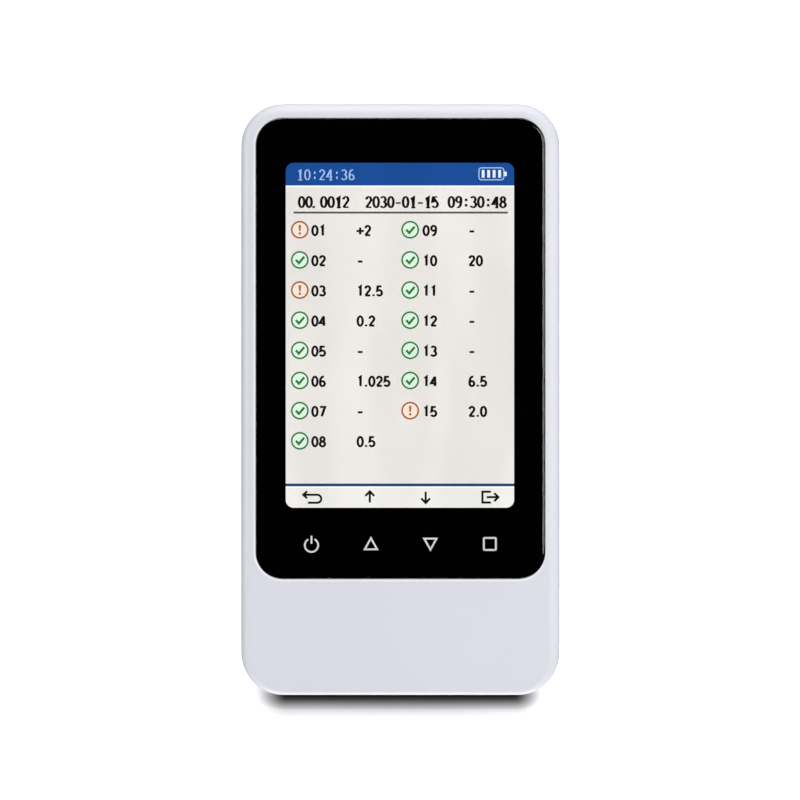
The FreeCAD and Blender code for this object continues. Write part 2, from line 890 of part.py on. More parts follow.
def board_chips():
    """The packages under the board: processor, memory, motor driver and voltage regulator."""
    chips = [
        block(
            name, x, y, f"board_low - {name}_height", f"{name}_width", f"{name}_length", f"{name}_height"
        )
        for name, x, y in CHIPS
    ]
    return group("board_chips", chips)


def radio_module():
    """The screened radio module that sends results out."""
    return block(
        "radio_module",
        "radio_offset",
        "board_rear - radio_set_back - radio_length",
        "board_low - radio_height",
        "radio_width",
        "radio_length",
        "radio_height",
    )


def buzzer():
    """The round sounder under the board, over the sound holes."""
    return rod(
        "buzzer", "buzzer_x", "buzzer_y", "board_low - buzzer_height", "buzzer_radius", "buzzer_height"
    )


def battery_socket():
    """The two-pole connector under the board, beside the battery."""
    return block(
        "battery_socket",
        "plug_x",
        "plug_front",
        "board_low - plug_height",
        "plug_width",
        "plug_length",
        "plug_height",
    )


def battery_cell():
    """The flat lithium cell."""
    return rounded(
        "battery_cell",
        "battery_width",
        "battery_front",
        "cradle_high",
        "battery_length",
        "battery_thickness",
        "battery_radius",
    )


def wire_through(points, radius, bend):
    """A round wire along straight runs, joined by tangent arcs that start bend short of each corner."""
    edges = []
    last = points[0]
    for before, corner, after in zip(points, points[1:], points[2:]):
        inward = (before - corner).normalize()
        outward = (after - corner).normalize()
        start = corner + inward * bend
        end = corner + outward * bend
        half_angle = inward.getAngle(outward) / 2
        arc_radius = bend * math.tan(half_angle)
        bisector = (inward + outward).normalize()
        middle = corner + bisector * (bend / math.cos(half_angle) - arc_radius)
        edges.append(Part.LineSegment(last, start).toShape())
        edges.append(Part.Arc(start, middle, end).toShape())
        last = end
    edges.append(Part.LineSegment(last, points[-1]).toShape())
    section = Part.Wire([Part.makeCircle(radius, points[0], points[1] - points[0])])
    return Part.Wire(edges).makePipeShell([section], True, False)


def battery_leads():
    """Two insulated wires from the cell's lower end, round a half turn, into the board's socket."""
    front = value("battery_front")
    low = value("battery_high") - 2.5 * value("lead_radius")
    high = value("board_low") - value("plug_height") / 2
    exit_x = value("battery_width") / 2 - 3 * value("lead_spacing")
    plug_x = value("plug_x") + value("plug_width") / 2
    wires = []
    for lane in (-0.5, 0.5):
        offset = lane * value("lead_spacing")
        turn_y = front - value("lead_reach") + offset
        points = [
            FreeCAD.Vector(exit_x + offset, front, low),
            FreeCAD.Vector(exit_x + offset, turn_y, low),
            FreeCAD.Vector(plug_x - offset, turn_y, high),
            FreeCAD.Vector(plug_x - offset, value("plug_front"), high),
        ]
        wires.append(wire_through(points, value("lead_radius"), value("lead_turn")))
    return shaped("battery_leads", Part.makeCompound(wires))


def board_screws():
    """Four screws that hold the board under the front shell's bosses."""
    return small_screws("board_screws", BOARD_SCREWS, "board_low", down=False)


# ---------------------------------------------------------------- battery cradle


def battery_cradle():
    """The plate over the tray channel: it closes the channel and holds the battery."""
    length = "cradle_rear - cradle_front"
    floor_width = "2 * (cradle_screw_x + small_post_radius)"
    rim_width = "battery_width + 2 * (battery_play + cradle_rim)"
    floor = wide_block("cradle_floor", floor_width, "cradle_front", "rail_high", length, "cradle_thickness")
    rim = wide_block(
        "cradle_wall",
        rim_width,
        "cradle_front",
        f"cradle_high - {ROOT}",
        length,
        f"cradle_rim_height + {ROOT}",
    )
    bed = wide_block(
        "cradle_bed",
        "battery_width + 2 * battery_play",
        "battery_front - battery_play",
        "cradle_high",
        "battery_length + 2 * battery_play",
        f"cradle_rim_height + {PAST}",
    )
    clearance = "pilot_radius + small_hole_gap"
    holes = rods(
        "cradle_hole", CRADLE_SCREWS, f"rail_high - {PAST}", clearance, f"cradle_thickness + 2 * {PAST}"
    )
    return cut("battery_cradle", fuse("cradle_blank", [floor, rim]), [bed, *holes])


def cradle_screws():
    """Four screws through the cradle's corners into the rear shell's posts."""
    return small_screws("cradle_screws", CRADLE_SCREWS, "cradle_high")


# ---------------------------------------------------------------- tray guide


def tray_guide():
    """The channel that the tray runs in: base, two rails, screw ears and the gear axle's foot."""
    start = "(lip_gap - inner_end)"
    length = f"guide_rear - {start}"
    height = "rail_high - floor_top"
    base = wide_block("guide_floor", "2 * rail_outer", start, "floor_top", length, "guide_base")
    rails = [
        block("rail_left", "-rail_outer", start, "floor_top", "rail_thickness", length, height),
        block("rail_right", "rail_inner", start, "floor_top", "rail_thickness", length, height),
    ]
    window_low = f"gear_y - drive_outer - {ROOT}"
    window_length = f"2 * drive_outer + 2 * {ROOT}"
    foot = block(
        "axle_foot",
        "rail_inner",
        window_low,
        "floor_top",
        "gear_x + drive_outer - rail_inner",
        window_length,
        "guide_base",
    )
    ear_reach = f"guide_screw_x + small_post_radius - rail_outer + {ROOT}"
    ears = []
    for label, x, y in GUIDE_SCREWS:
        low_x = "-(guide_screw_x + small_post_radius)" if x.startswith("-") else f"rail_outer - {ROOT}"
        low_y = f"{y} - small_post_radius"
        ears.append(
            block(
                f"ear_{label}", low_x, low_y, "ear_low", ear_reach, "2 * small_post_radius", "ear_thickness"
            )
        )
    window = block(
        "gear_window",
        f"rail_inner - {ROOT}",
        window_low,
        "guide_top",
        f"rail_thickness + 2 * {ROOT}",
        window_length,
        f"rail_high - guide_top + {PAST}",
    )
    axle_hole = rod(
        "axle_hole", "gear_x", "gear_y", f"floor_top - {PAST}", "axle_radius", f"guide_base + 2 * {PAST}"
    )
    clearance = "pilot_radius + small_hole_gap"
    holes = rods("ear_hole", GUIDE_SCREWS, f"ear_low - {ROOT}", clearance, f"ear_thickness + 2 * {ROOT}")
    return cut("tray_guide", fuse("guide_blank", [base, *rails, foot, *ears]), [window, axle_hole, *holes])


def guide_screws():
    """Four screws through the guide's ears."""
    return small_screws("guide_screws", GUIDE_SCREWS, "ear_high")


def home_sensor():
    """The light gate at the rear of the guide. The tray's flag stands in it when the tray is shut."""
    start = "(tray_rear_end + tray_clear)"
    body = wide_block(
        "sensor_body",
        "flag_thickness + 2 * sensor_arm",
        start,
        "guide_top",
        "flag_length + rail_thickness / 2",
        "tray_high - guide_top",
    )
    slot = wide_block(
        "sensor_slot",
        "flag_thickness + 2 * sensor_gap",
        f"{start} - {PAST}",
        "flag_low - sensor_gap",
        f"flag_length + rail_thickness + 2 * {PAST}",
        f"tray_high - flag_low + sensor_gap + {PAST}",
    )
    return cut("home_sensor", body, [slot])


# ---------------------------------------------------------------- tray


def rack_spaces():
    """The spaces between the rack's teeth, cut into the tray's right side."""
    module = value("gear_module")
    pitch = math.pi * module
    pitch_x = value("rack_pitch_x")
    tip_x = value("tray_width") / 2 + 0.5 * module
    root_x = pitch_x - 1.25 * module
    slope = math.tan(math.radians(value("pressure_angle")))
    low = value("tray_low") - float(PAST)
    height = value("tray_thickness") + 2 * float(PAST)
    in_mesh = value("drive_outer") + pitch
    first = -int(in_mesh // pitch)
    last = int((value("travel") + in_mesh) // pitch)
    spaces = []
    for step in range(first, last + 1):
        y = value("gear_y") + step * pitch
        half_tip = pitch / 4 + (tip_x - pitch_x) * slope
        half_root = pitch / 4 - (pitch_x - root_x) * slope
        corners = [(tip_x, -half_tip), (tip_x, half_tip), (root_x, half_root), (root_x, -half_root)]
        loop = corners + corners[:1]
        outline = Part.makePolygon([FreeCAD.Vector(x, y + across, low) for x, across in loop])
        spaces.append(Part.Face(outline).extrude(FreeCAD.Vector(0, 0, height)))
    return shaped("rack_spaces", Part.makeCompound(spaces))


def tray_carriage():
    """The sliding carriage: a bed for the strip holder, a rack on its right side and a rear flag."""
    length = "tray_rear_end - tray_front_end"
    bar = wide_block("carriage_bar", "tray_width", "tray_front_end", "tray_low", length, "tray_thickness")
    flag = wide_block(
        "carriage_flag",
        "flag_thickness",
        f"tray_rear_end - {PAST}",
        "flag_low",
        f"flag_length + {PAST}",
        "tray_high - flag_low",
    )
    bed = wide_block(
        "carriage_bed",
        "holder_width",
        "holder_front",
        "holder_low",
        "holder_rear - holder_front",
        f"holder_depth + {PAST}",
    )
    return cut("tray_carriage", fuse("carriage_blank", [bar, flag]), [bed, rack_spaces()])


def strip_holder():
    """The white insert that the test strip lies in. It lifts out of the carriage for cleaning."""
    insert = wide_block(
        "holder_block",
        "holder_width - 2 * holder_play",
        "holder_front + holder_play",
        "holder_low",
        "holder_rear - holder_front - 2 * holder_play",
        "holder_high - holder_low",
    )
    groove = wide_block(
        "strip_groove",
        "groove_width",
        "holder_front",
        "holder_high - groove_depth",
        "tile_front - tile_margin - holder_front",
        f"groove_depth + {PAST}",
    )
    drain = wide_block(
        "drain_slot",
        "0.5 * groove_width",
        "holder_front + 2 * tile_margin",
        "holder_high - groove_depth - drain_depth",
        "tile_front - 5 * tile_margin - holder_front",
        f"drain_depth + {PAST}",
    )
    pocket = wide_block(
        "tile_pocket",
        "groove_width",
        "tile_front",
        "holder_high - tile_thickness",
        "tile_length",
        f"tile_thickness + {PAST}",
    )
    return cut("strip_holder", insert, [groove, drain, pocket])


def calibration_tile():
    """The white reference tile behind the strip, under the reader when the tray is fully out."""
    return wide_block(
        "calibration_tile",
        "groove_width",
        "tile_front",
        "holder_high - tile_thickness",
        "tile_length",
        "tile_thickness",
    )


def tray_front():
    """The cap that closes the mouth. It carries on the outer face of the case."""
    length = f"(wall + {PAST})"
    blank = wide_block(
        "front_blank",
        "front_width",
        f"tray_front_end - {length}",
        "front_low",
        length,
        "front_high - front_low",
    )
    return common("tray_front", envelope, blank)


# ---------------------------------------------------------------- drive


def spur_gear(teeth, low, height, turn):
    """An involute gear of the set's module, turned by turn degrees, standing at low on the z axis."""
    builder = fcgear.FCWireBuilder()
    angle = value("pressure_angle")
    involute.CreateExternalGear(builder, value("gear_module"), round(teeth), angle, split=False)
    outline = Part.Wire([piece.toShape() for piece in builder.wire])
    solid = Part.Face(outline).extrude(FreeCAD.Vector(0, 0, height))
    solid.rotate(FreeCAD.Vector(0, 0, 0), FreeCAD.Vector(0, 0, 1), turn)
    solid.translate(FreeCAD.Vector(0, 0, low))
    return solid


def on_axle(name, shape, x, y):
    """A feature with the shape moved to the axle at x, y."""
    shape.translate(FreeCAD.Vector(value(x), value(y), 0))
    return shaped(name, shape)


def tray_gear():
    """One moulding with two gears: the small one drives the rack, the large one takes the motor."""
    low = value("guide_top") + value("gear_lift")
    into_rack = 180
    space_to_motor = value("motor_angle") + 180 / value("wheel_teeth")
    small = spur_gear(value("drive_teeth"), low, value("wheel_low") - low, into_rack)
    large = spur_gear(value("wheel_teeth"), value("wheel_low"), value("wheel_thickness"), space_to_motor)
    bore = Part.makeCylinder(value("axle_radius") + value("running_gap"), value("plate_high"))
    return on_axle("tray_gear", small.fuse(large).cut(bore), "gear_x", "gear_y")


def motor_pinion():
    """The pinion pressed on the motor shaft, with one tooth in a space of the wheel."""
    tooth_to_wheel = value("motor_angle") + 180
    teeth = spur_gear(value("pinion_teeth"), value("wheel_low"), value("wheel_thickness"), tooth_to_wheel)
    bore = Part.makeCylinder(value("shaft_radius"), value("plate_high"))
    return on_axle("motor_pinion", teeth.cut(bore), "motor_x", "motor_y")


def gear_axle():
    """The fixed steel pin of the tray gear, held in the guide's foot and in the motor plate."""
    return rod("gear_axle", "gear_x", "gear_y", "floor_top", "axle_radius", "plate_high - floor_top")


def motor_plate():
    """The steel plate that carries the motor and the top of the gear axle."""
    arms = [("axle", "motor_angle + 180", "motor_reach", "gear_x", "gear_y")]
    for (label, x, y), angle in zip(PLATE_SCREWS, ("upper_post_angle", "lower_post_angle")):
        arms.append((label, angle, "plate_post_reach", x, y))
    disc_radius = "motor_radius + running_gap"
    blanks = [rod("plate_disc", "motor_x", "motor_y", "plate_low", disc_radius, "plate_thickness")]
    for label, angle, reach, x, y in arms:
        blanks.append(rod(f"plate_pad_{label}", x, y, "plate_low", "plate_arm_width / 2", "plate_thickness"))
        arm = doc.addObject("Part::Box", f"plate_arm_{label}")
        blanks.append(bind(arm, {
            "Length": reach,
            "Width": "plate_arm_width",
            "Height": "plate_thickness",
            "Placement.Base.x": f"motor_x + plate_arm_width / 2 * sin({angle})",
            "Placement.Base.y": f"motor_y - plate_arm_width / 2 * cos({angle})",
            "Placement.Base.z": "plate_low",
            "Placement.Rotation.Angle": angle,
        }))
    low = f"plate_low - {PAST}"
    through = f"plate_thickness + 2 * {PAST}"
    holes = [
        rod("plate_axle_hole", "gear_x", "gear_y", low, "axle_radius", through),
        rod("plate_shaft_hole", "motor_x", "motor_y", low, "shaft_radius + running_gap", through),
        *rods("plate_hole", PLATE_SCREWS, low, "pilot_radius + small_hole_gap", through),
    ]
    return cut("motor_plate", fuse("plate_blank", blanks), holes)


def plate_screws():
    """Two screws that hold the motor plate on its posts."""
    return small_screws("plate_screws", PLATE_SCREWS, "plate_high")


def tube(name, low, outer, inner, height):
    """An upright tube on the motor's axis."""
    body = rod(name + "_body", "motor_x", "motor_y", low, outer, height)
    bore = rod(name + "_bore", "motor_x", "motor_y", f"{low} - {PAST}", inner, f"{height} + 2 * {PAST}")
    return cut(name, body, [bore])


def motor_can():
    """The motor's drawn steel cup, open towards the plate."""
    room = "motor_height - motor_skin"
    cup = rod("can_outer", "motor_x", "motor_y", "plate_high", "motor_radius", "motor_height")
    hollow = rod("can_inner", "motor_x", "motor_y", "plate_high", "motor_radius - motor_skin", room)
    return cut("motor_can", cup, [hollow])


def motor_coils():
    """Two coil rings, one above the other, inside the cup."""
    each = "(motor_height - motor_skin - coil_gap) / 2"
    sizes = ("motor_radius - motor_skin", "magnet_radius + coil_gap", each)
    lower = tube("coil_lower", "plate_high", *sizes)
    upper = tube("coil_upper", f"plate_high + {each} + coil_gap", *sizes)
    return group("motor_coils", [lower, upper])


def motor_magnet():
    """The ring magnet of the rotor."""
    room = "motor_height - motor_skin - 2 * coil_gap"
    return tube("motor_magnet", "plate_high + coil_gap", "magnet_radius", "shaft_radius", room)


def motor_shaft():
    """The rotor's shaft, from just under the pinion up into the cup."""
    top = "(motor_high - motor_skin - coil_gap / 2)"
    return rod("motor_shaft", "motor_x", "motor_y", "rail_high", "shaft_radius", f"{top} - rail_high")


# ---------------------------------------------------------------- reader

LAMPS = [(side, f"{sign}lamp_spread", "reader_y") for side, sign in SIDES.items()]


def reader_housing():
    """The black optics block over the tray: one well for the sensor and one for each lamp."""
    blank = wide_block(
        "reader_blank", "2 * rail_outer", "reader_front", "rail_high", "reader_length", "reader_height"
    )
    low = f"rail_high - {PAST}"
    through = f"reader_height + 2 * {PAST}"
    wells = [
        rod("sensor_well", "0", "reader_y", low, "reader_bore", through),
        rod("lens_seat", "0", "reader_y", low, "lens_radius", f"lens_thickness + {PAST}"),
        *rods("lamp_well", LAMPS, low, "lamp_radius + lamp_gap", through),
    ]
    return cut("reader_housing", blank, wells)


def reader_lens():
    """The clear window at the foot of the sensor's well."""
    return rod("reader_lens", "0", "reader_y", "rail_high", "lens_radius", "lens_thickness")


def reader_board():
    """The small board on top of the optics block."""
    return wide_block(
        "reader_board",
        "2 * rail_outer",
        "reader_front",
        "reader_high",
        "reader_length",
        "reader_board_thickness",
    )


def reader_lamps():
    """Two lamps that hang from the reader board into their wells."""
    lamps = rods("lamp", LAMPS, "reader_high - lamp_height", "lamp_radius", "lamp_height")
    return group("reader_lamps", lamps)


def photo_sensor():
    """The light sensor over the middle well."""
    side, height = "1.2 * reader_bore", "0.4 * reader_bore"
    return wide_block(
        "photo_sensor", side, f"reader_y - {side} / 2", f"reader_high - {height}", side, height
    )


def reader_ribbon():
    """The flex from the reader board to the main board, over the step between them."""
    width = value("reader_ribbon_width")
    x = width / 2 - value("rail_outer")
    half = value("ribbon_thickness") / 2
    low = value("reader_high") + value("reader_board_thickness") + half
    high = value("board_high") + half
    foot = FreeCAD.Vector(x, value("reader_rear"), low)
    head = FreeCAD.Vector(x, value("board_front"), high)
    start = foot - FreeCAD.Vector(0, value("reader_ribbon_end"), 0)
    end = head + FreeCAD.Vector(0, value("reader_ribbon_end"), 0)
    lower_run = Part.LineSegment(start, foot).toShape()
    upper_run = Part.LineSegment(head, end).toShape()
    return ribbon("reader_ribbon", [lower_run, *s_bend(foot, head), upper_run], width, x)


def s_bend(foot, head):
    """Two equal arcs from foot to head that leave and arrive level, or a line where they are level."""
    run = (head.y - foot.y) / 2
    rise = (head.z - foot.z) / 2
    if abs(rise) < SAME_PLANE:
        return [Part.LineSegment(foot, head).toShape()]
    turn = 2 * math.atan2(abs(rise), run)
    radius = run / math.sin(turn)
    aside = FreeCAD.Vector(
        0, radius * math.sin(turn / 2), math.copysign(radius * (1 - math.cos(turn / 2)), rise)
    )
    knee = (foot + head) * 0.5
    return [Part.Arc(foot, foot + aside, knee).toShape(), Part.Arc(knee, head - aside, head).toShape()]


# ---------------------------------------------------------------- build, check and write

NODES = (
    front_shell,
    rear_shell,
    case_screws,
    rubber_feet,
    cover_glass,
    touch_sensor,
    bond_frame,
    lcd_panel,
    lcd_backlight,
    lcd_ribbon,
    main_board,
    charging_socket,
    board_chips,
    radio_module,
    buzzer,
    battery_socket,
    battery_cell,
    battery_leads,
    board_screws,
    battery_cradle,
    cradle_screws,
    tray_guide,
    guide_screws,
    home_sensor,
    tray_carriage,
    strip_holder,
    calibration_tile,
    tray_front,
    tray_gear,
    motor_pinion,
    gear_axle,
    motor_plate,
    plate_screws,
    motor_can,
    motor_coils,
    motor_magnet,
    motor_shaft,
    reader_housing,
    reader_lens,
    reader_board,
    reader_lamps,
    photo_sensor,
    reader_ribbon,
)

nodes = []
for build in NODES:
    node = build()
    node.Label = build.__name__
    nodes.append(node)
doc.recompute()

failed = [item.Name for item in doc.Objects if {"Invalid", "Error"} & set(item.State)]
for node in nodes:
    if node.Shape.isNull() or not node.Shape.isValid() or not node.Shape.Solids:
        failed.append(node.Label)
if failed:
    raise SystemExit("not built: " + ", ".join(failed))

os.makedirs("parts", exist_ok=True)
for node in nodes:
    node.Shape.exportStep(f"parts/{node.Label}.step")
print(f"{len(nodes)} nodes, tray travel {value('travel'):.2f} mm")
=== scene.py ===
"""Handheld urine strip analyzer: finishes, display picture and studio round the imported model.

The analyzer lies on its back. +Z is up, out of the display, +Y runs to the display's upper end
and +X to its right. Sizes are in millimetres, and the studio's are in metres.
"""

import logging
import math
from collections.abc import Iterable, Sequence
from dataclasses import dataclass, field
from enum import Enum

import bmesh
import bpy
from mathutils import Matrix, Vector


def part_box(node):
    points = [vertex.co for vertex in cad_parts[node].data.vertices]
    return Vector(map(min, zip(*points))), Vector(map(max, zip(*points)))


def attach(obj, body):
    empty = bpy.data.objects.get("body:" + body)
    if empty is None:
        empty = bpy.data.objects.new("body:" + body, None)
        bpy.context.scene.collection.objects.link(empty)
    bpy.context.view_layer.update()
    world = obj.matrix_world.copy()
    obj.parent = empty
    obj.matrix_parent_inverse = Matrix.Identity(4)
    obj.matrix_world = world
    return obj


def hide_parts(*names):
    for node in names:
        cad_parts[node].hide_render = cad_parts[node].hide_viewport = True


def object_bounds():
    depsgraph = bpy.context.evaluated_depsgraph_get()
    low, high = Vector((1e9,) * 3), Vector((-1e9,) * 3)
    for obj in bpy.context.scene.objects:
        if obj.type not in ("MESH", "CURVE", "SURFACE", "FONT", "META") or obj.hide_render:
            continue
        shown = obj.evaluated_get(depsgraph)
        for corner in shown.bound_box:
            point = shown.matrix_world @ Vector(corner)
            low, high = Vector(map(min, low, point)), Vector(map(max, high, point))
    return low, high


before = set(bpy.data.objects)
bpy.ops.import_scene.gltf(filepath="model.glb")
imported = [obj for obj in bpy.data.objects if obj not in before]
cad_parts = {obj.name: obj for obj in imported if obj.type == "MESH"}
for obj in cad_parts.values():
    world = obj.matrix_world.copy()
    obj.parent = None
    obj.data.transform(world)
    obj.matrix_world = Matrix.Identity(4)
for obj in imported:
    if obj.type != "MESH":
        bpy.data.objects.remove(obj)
CAD_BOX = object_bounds()

MM = 0.001
CASE = "case"

log = logging.getLogger("analyzer")

Point = tuple[float, float]
Triple = tuple[float, float, float]
Outline = list[Point]
Colour = tuple[float, float, float, float]
Stops = Iterable[tuple[float, Colour]]
Socket = bpy.types.NodeSocket
Tree = bpy.types.NodeTree


# ---------------------------------------------------------------- colours and nodes

# The Mix node's sockets for colours: share, first and second colour, and result.
SHARE, FIRST, SECOND, MIXED = 0, 6, 7, 2


def linear(colour: str) -> Colour:
    """Turns an sRGB hex colour into Blender's linear colour.

    Args:
        colour: Six hex digits after a hash, such as "#DBDDE3".

    Returns:
        Linear red, green and blue, and a full alpha.
    """
    channels = (int(colour[i : i + 2], 16) / 255 for i in (1, 3, 5))
    red, green, blue = (
        c / 12.92 if c <= 0.04045 else ((c + 0.055) / 1.055) ** 2.4 for c in channels
    )
    return red, green, blue, 1.0


def dimmed(colour: Colour, share: float) -> Colour:
    """The colour with that share of its light."""
    return tuple(channel * share for channel in colour[:3]) + (1.0,)


def grey(level: float) -> Colour:
    """An even linear grey."""
    return level, level, level, 1.0


def add(
    tree: Tree,
    kind: str,
    inputs: dict[str | int, object] | None = None,
    stops: Stops | None = None,
    **settings: object,
) -> bpy.types.Node:
    """Adds one node with its settings and links.

    Args:
        tree: Node tree that gets the node.
        kind: Blender's name of the node type, without the "ShaderNode" in front.
        inputs: Input name or index to a plain value, or to the socket that feeds it.
        stops: For a colour ramp, its places from 0 to 1 and their colours.
        **settings: Properties of the node, or of its colour ramp where it has stops.

    Returns:
        The new node.
    """
    node = tree.nodes.new("ShaderNode" + kind)
    holder = node if stops is None else node.color_ramp
    for key, setting in settings.items():
        setattr(holder, key, setting)
    if stops is not None:
        first, *between, last = stops
        holder.elements[0].position, holder.elements[0].color = first
        holder.elements[1].position, holder.elements[1].color = last
        for place, colour in between:
            holder.elements.new(place).color = colour
    for key, given in (inputs or {}).items():
        if isinstance(given, Socket):
            tree.links.new(given, node.inputs[key])
        else:
            node.inputs[key].default_value = given
    return node


# ---------------------------------------------------------------- finishes

# Noise lies mostly between these values, so what follows it is spread over them.
NOISE_SPAN = {"From Min": 0.3, "From Max": 0.7}


@dataclass(frozen=True)
class Finish:
    """A material by its common name and how its surface was made."""

    name: str

    def shader(self, tree: Tree) -> Socket:
        """Builds the nodes and returns the shader socket."""
        raise NotImplementedError

    def material(self) -> bpy.types.Material:
        """Makes the material on first use and shares it from then on.

        Returns:
            The Blender material.
        """
        made = bpy.data.materials.get(self.name)
        if made is None:
            made = bpy.data.materials.new(self.name)
            made.use_nodes = True
            tree = made.node_tree
            tree.nodes.clear()
            surface = self.shader(tree)
            add(tree, "OutputMaterial", {"Surface": surface})
        return made

    @staticmethod
    def pattern(
        tree: Tree, size: float, detail: float, stretch: Triple = (1, 1, 1)
    ) -> Socket:
        """Adds soft noise of a real size that keeps still on the piece.

        Args:
            tree: Node tree.
            size: Width of a lump in millimetres.
            detail: Octaves of finer lumps.
            stretch: Factor along X, Y and Z. Below 1, the lumps are longer that way.

        Returns:
            The noise value.
        """
        where = add(tree, "TexCoord").outputs["Object"]
        where = add(tree, "Mapping", {"Vector": where, "Scale": stretch}).outputs["Vector"]
        inputs = {"Vector": where, "Scale": 1 / (size * MM), "Detail": detail}
        return add(tree, "TexNoise", inputs).outputs["Fac"]


class Texture(Enum):
    """How a moulding tool's face was finished: lump size and relief in millimetres.

    Polishing leaves a long shallow wave. Spark erosion leaves lumps of about 0.05 mm, and
    milling leaves lines of about 0.1 mm: both are drawn coarser here, so that they show.
    """

    POLISHED = (0.9, 0.002)
    SPARK_ERODED = (0.28, 0.012)
    AS_MACHINED = (0.45, 0.006)


@dataclass(frozen=True)
class MouldedPlastic(Finish):
    """Injection-moulded plastic.

    The tool's face gives a fine even texture. The melt leaves a slight change of tone and gloss
    over a wall's length, so a highlight has a soft broken edge.
    """

    colour: str
    roughness: float
    texture: Texture = Texture.SPARK_ERODED
    ior: float = 1.53
    tone: float = 0.03
    translucency: float = 0.0
    light_reach: Triple = (1.2, 1.1, 1.0)
    flow: float = 38.0
    flow_edge: Point = (0.35, 0.65)
    gloss_change: float = 0.02

    def shader(self, tree: Tree) -> Socket:
        """Builds the plastic.

        Args:
            tree: Node tree of the material.

        Returns:
            The shader socket.
        """
        lump, relief = self.texture.value
        flow = self.pattern(tree, self.flow, detail=2.0)
        grain = self.pattern(tree, lump, detail=2.0)
        base = linear(self.colour)
        stops = zip(self.flow_edge, (dimmed(base, 1 - self.tone), base))
        tones = add(tree, "ValToRGB", {"Fac": flow}, stops, interpolation="EASE")
        bump = {"Height": grain, "Distance": relief * MM, "Strength": 1.0}
        gloss = {
            "Value": flow,
            "To Min": self.roughness - self.gloss_change,
            "To Max": self.roughness + self.gloss_change,
        }
        change = add(tree, "MapRange", gloss | NOISE_SPAN, interpolation_type="SMOOTHSTEP")
        settings = {
            "Base Color": tones.outputs["Color"],
            "Roughness": change.outputs["Result"],
            "IOR": self.ior,
            "Normal": add(tree, "Bump", bump).outputs["Normal"],
        }
        if self.translucency:
            settings["Subsurface Weight"] = self.translucency
            settings["Subsurface Radius"] = tuple(reach * MM for reach in self.light_reach)
            settings["Subsurface Scale"] = 1.0
        return add(tree, "BsdfPrincipled", settings).outputs["BSDF"]


@dataclass(frozen=True)
class ClearSolid(Finish):
    """Clear glass or acrylic with polished faces.

    It is even and colourless, with a hard narrow highlight along its edge. A faint film of
    handling, in smears as wide as a fingertip, only shows where it mirrors a lamp.
    """

    roughness: float = 0.01
    ior: float = 1.5
    tint: str = "#FCFDFC"
    smear: float = 9.0
    smear_gloss: float = 0.02

    def shader(self, tree: Tree) -> Socket:
        """Builds the clear solid.

        Args:
            tree: Node tree of the material.

        Returns:
            The shader socket.
        """
        gloss = {
            "Value": self.pattern(tree, self.smear, detail=4.0),
            "To Min": self.roughness,
            "To Max": self.roughness + self.smear_gloss,
        }
        film = add(tree, "MapRange", gloss | NOISE_SPAN, interpolation_type="SMOOTHSTEP")
        settings = {
            "Base Color": linear(self.tint),
            "Roughness": film.outputs["Result"],
            "IOR": self.ior,
            "Transmission Weight": 1.0,
        }
        return add(tree, "BsdfPrincipled", settings).outputs["BSDF"]


@dataclass(frozen=True)
class ClearFilm(Finish):
    """Optically bonded film: the bond leaves no surface to mirror, only faint streaks."""

    tint: str = "#FEFEFE"
    streak: str = "#FBFBFB"
    streak_width: float = 14.0
    streak_run: Triple = (1, 0.3, 1)
    streak_edge: Point = (0.4, 0.6)

    def shader(self, tree: Tree) -> Socket:
        """Builds the film.

        Args:
            tree: Node tree of the material.

        Returns:
            The shader socket.
        """
        streaks = self.pattern(tree, self.streak_width, detail=1.0, stretch=self.streak_run)
        stops = zip(self.streak_edge, (linear(self.streak), linear(self.tint)))
        tints = add(tree, "ValToRGB", {"Fac": streaks}, stops, interpolation="EASE")
        return add(tree, "BsdfTransparent", {"Color": tints.outputs["Color"]}).outputs["BSDF"]


@dataclass(frozen=True)
class PrintedInk(Finish):
    """Screen-printed ink: dense, even and matte, a little thinner under the screen's threads.

    Real threads stand about 0.1 mm apart, and they are drawn coarser here so that they show.
    """

    colour: str
    # Light the ink gives off itself. Above 0 it is a painted glow, in place of lamp light falling
    # on the print through the glass.
    glow: float = 0.0
    thread_pitch: float = 0.25
    thread_edge: Point = (0.4, 0.6)
    thin: float = 0.9

    def shader(self, tree: Tree) -> Socket:
        """Builds the ink.

        Args:
            tree: Node tree of the material.

        Returns:
            The shader socket.
        """
        weave = self.pattern(tree, self.thread_pitch, detail=1.0)
        base = linear(self.colour)
        stops = zip(self.thread_edge, (dimmed(base, self.thin), base))
        tones = add(tree, "ValToRGB", {"Fac": weave}, stops, interpolation="EASE")
        settings = {
            "Base Color": tones.outputs["Color"],
            "Roughness": 0.75,
            "IOR": 1.5,
            "Specular IOR Level": 0.0,
            # A painted glow where glow is above 0, as in the white key marks.
            "Emission Color": base,
            "Emission Strength": self.glow,
        }
        return add(tree, "BsdfPrincipled", settings).outputs["BSDF"]


@dataclass(frozen=True)
class LitPixels(Finish):
    """Colour-filter pixels before a backlight: an even glow with slow, faint changes."""

    colour: str
    strength: float = 1.2
    cloud: float = 30.0
    cloud_edge: Point = (0.35, 0.65)
    dim: float = 0.97
    off: str = "#020202"

    def shader(self, tree: Tree) -> Socket:
        """Builds the lit picture.

        Args:
            tree: Node tree of the material.

        Returns:
            The shader socket.
        """
        cloud = self.pattern(tree, self.cloud, detail=1.0)
        base = linear(self.colour)
        stops = zip(self.cloud_edge, (dimmed(base, self.dim), base))
        glow = add(tree, "ValToRGB", {"Fac": cloud}, stops, interpolation="EASE")
        settings = {
            "Base Color": linear(self.off),
            "Roughness": 0.08,
            "Emission Color": glow.outputs["Color"],
            "Emission Strength": self.strength,
        }
        return add(tree, "BsdfPrincipled", settings).outputs["BSDF"]


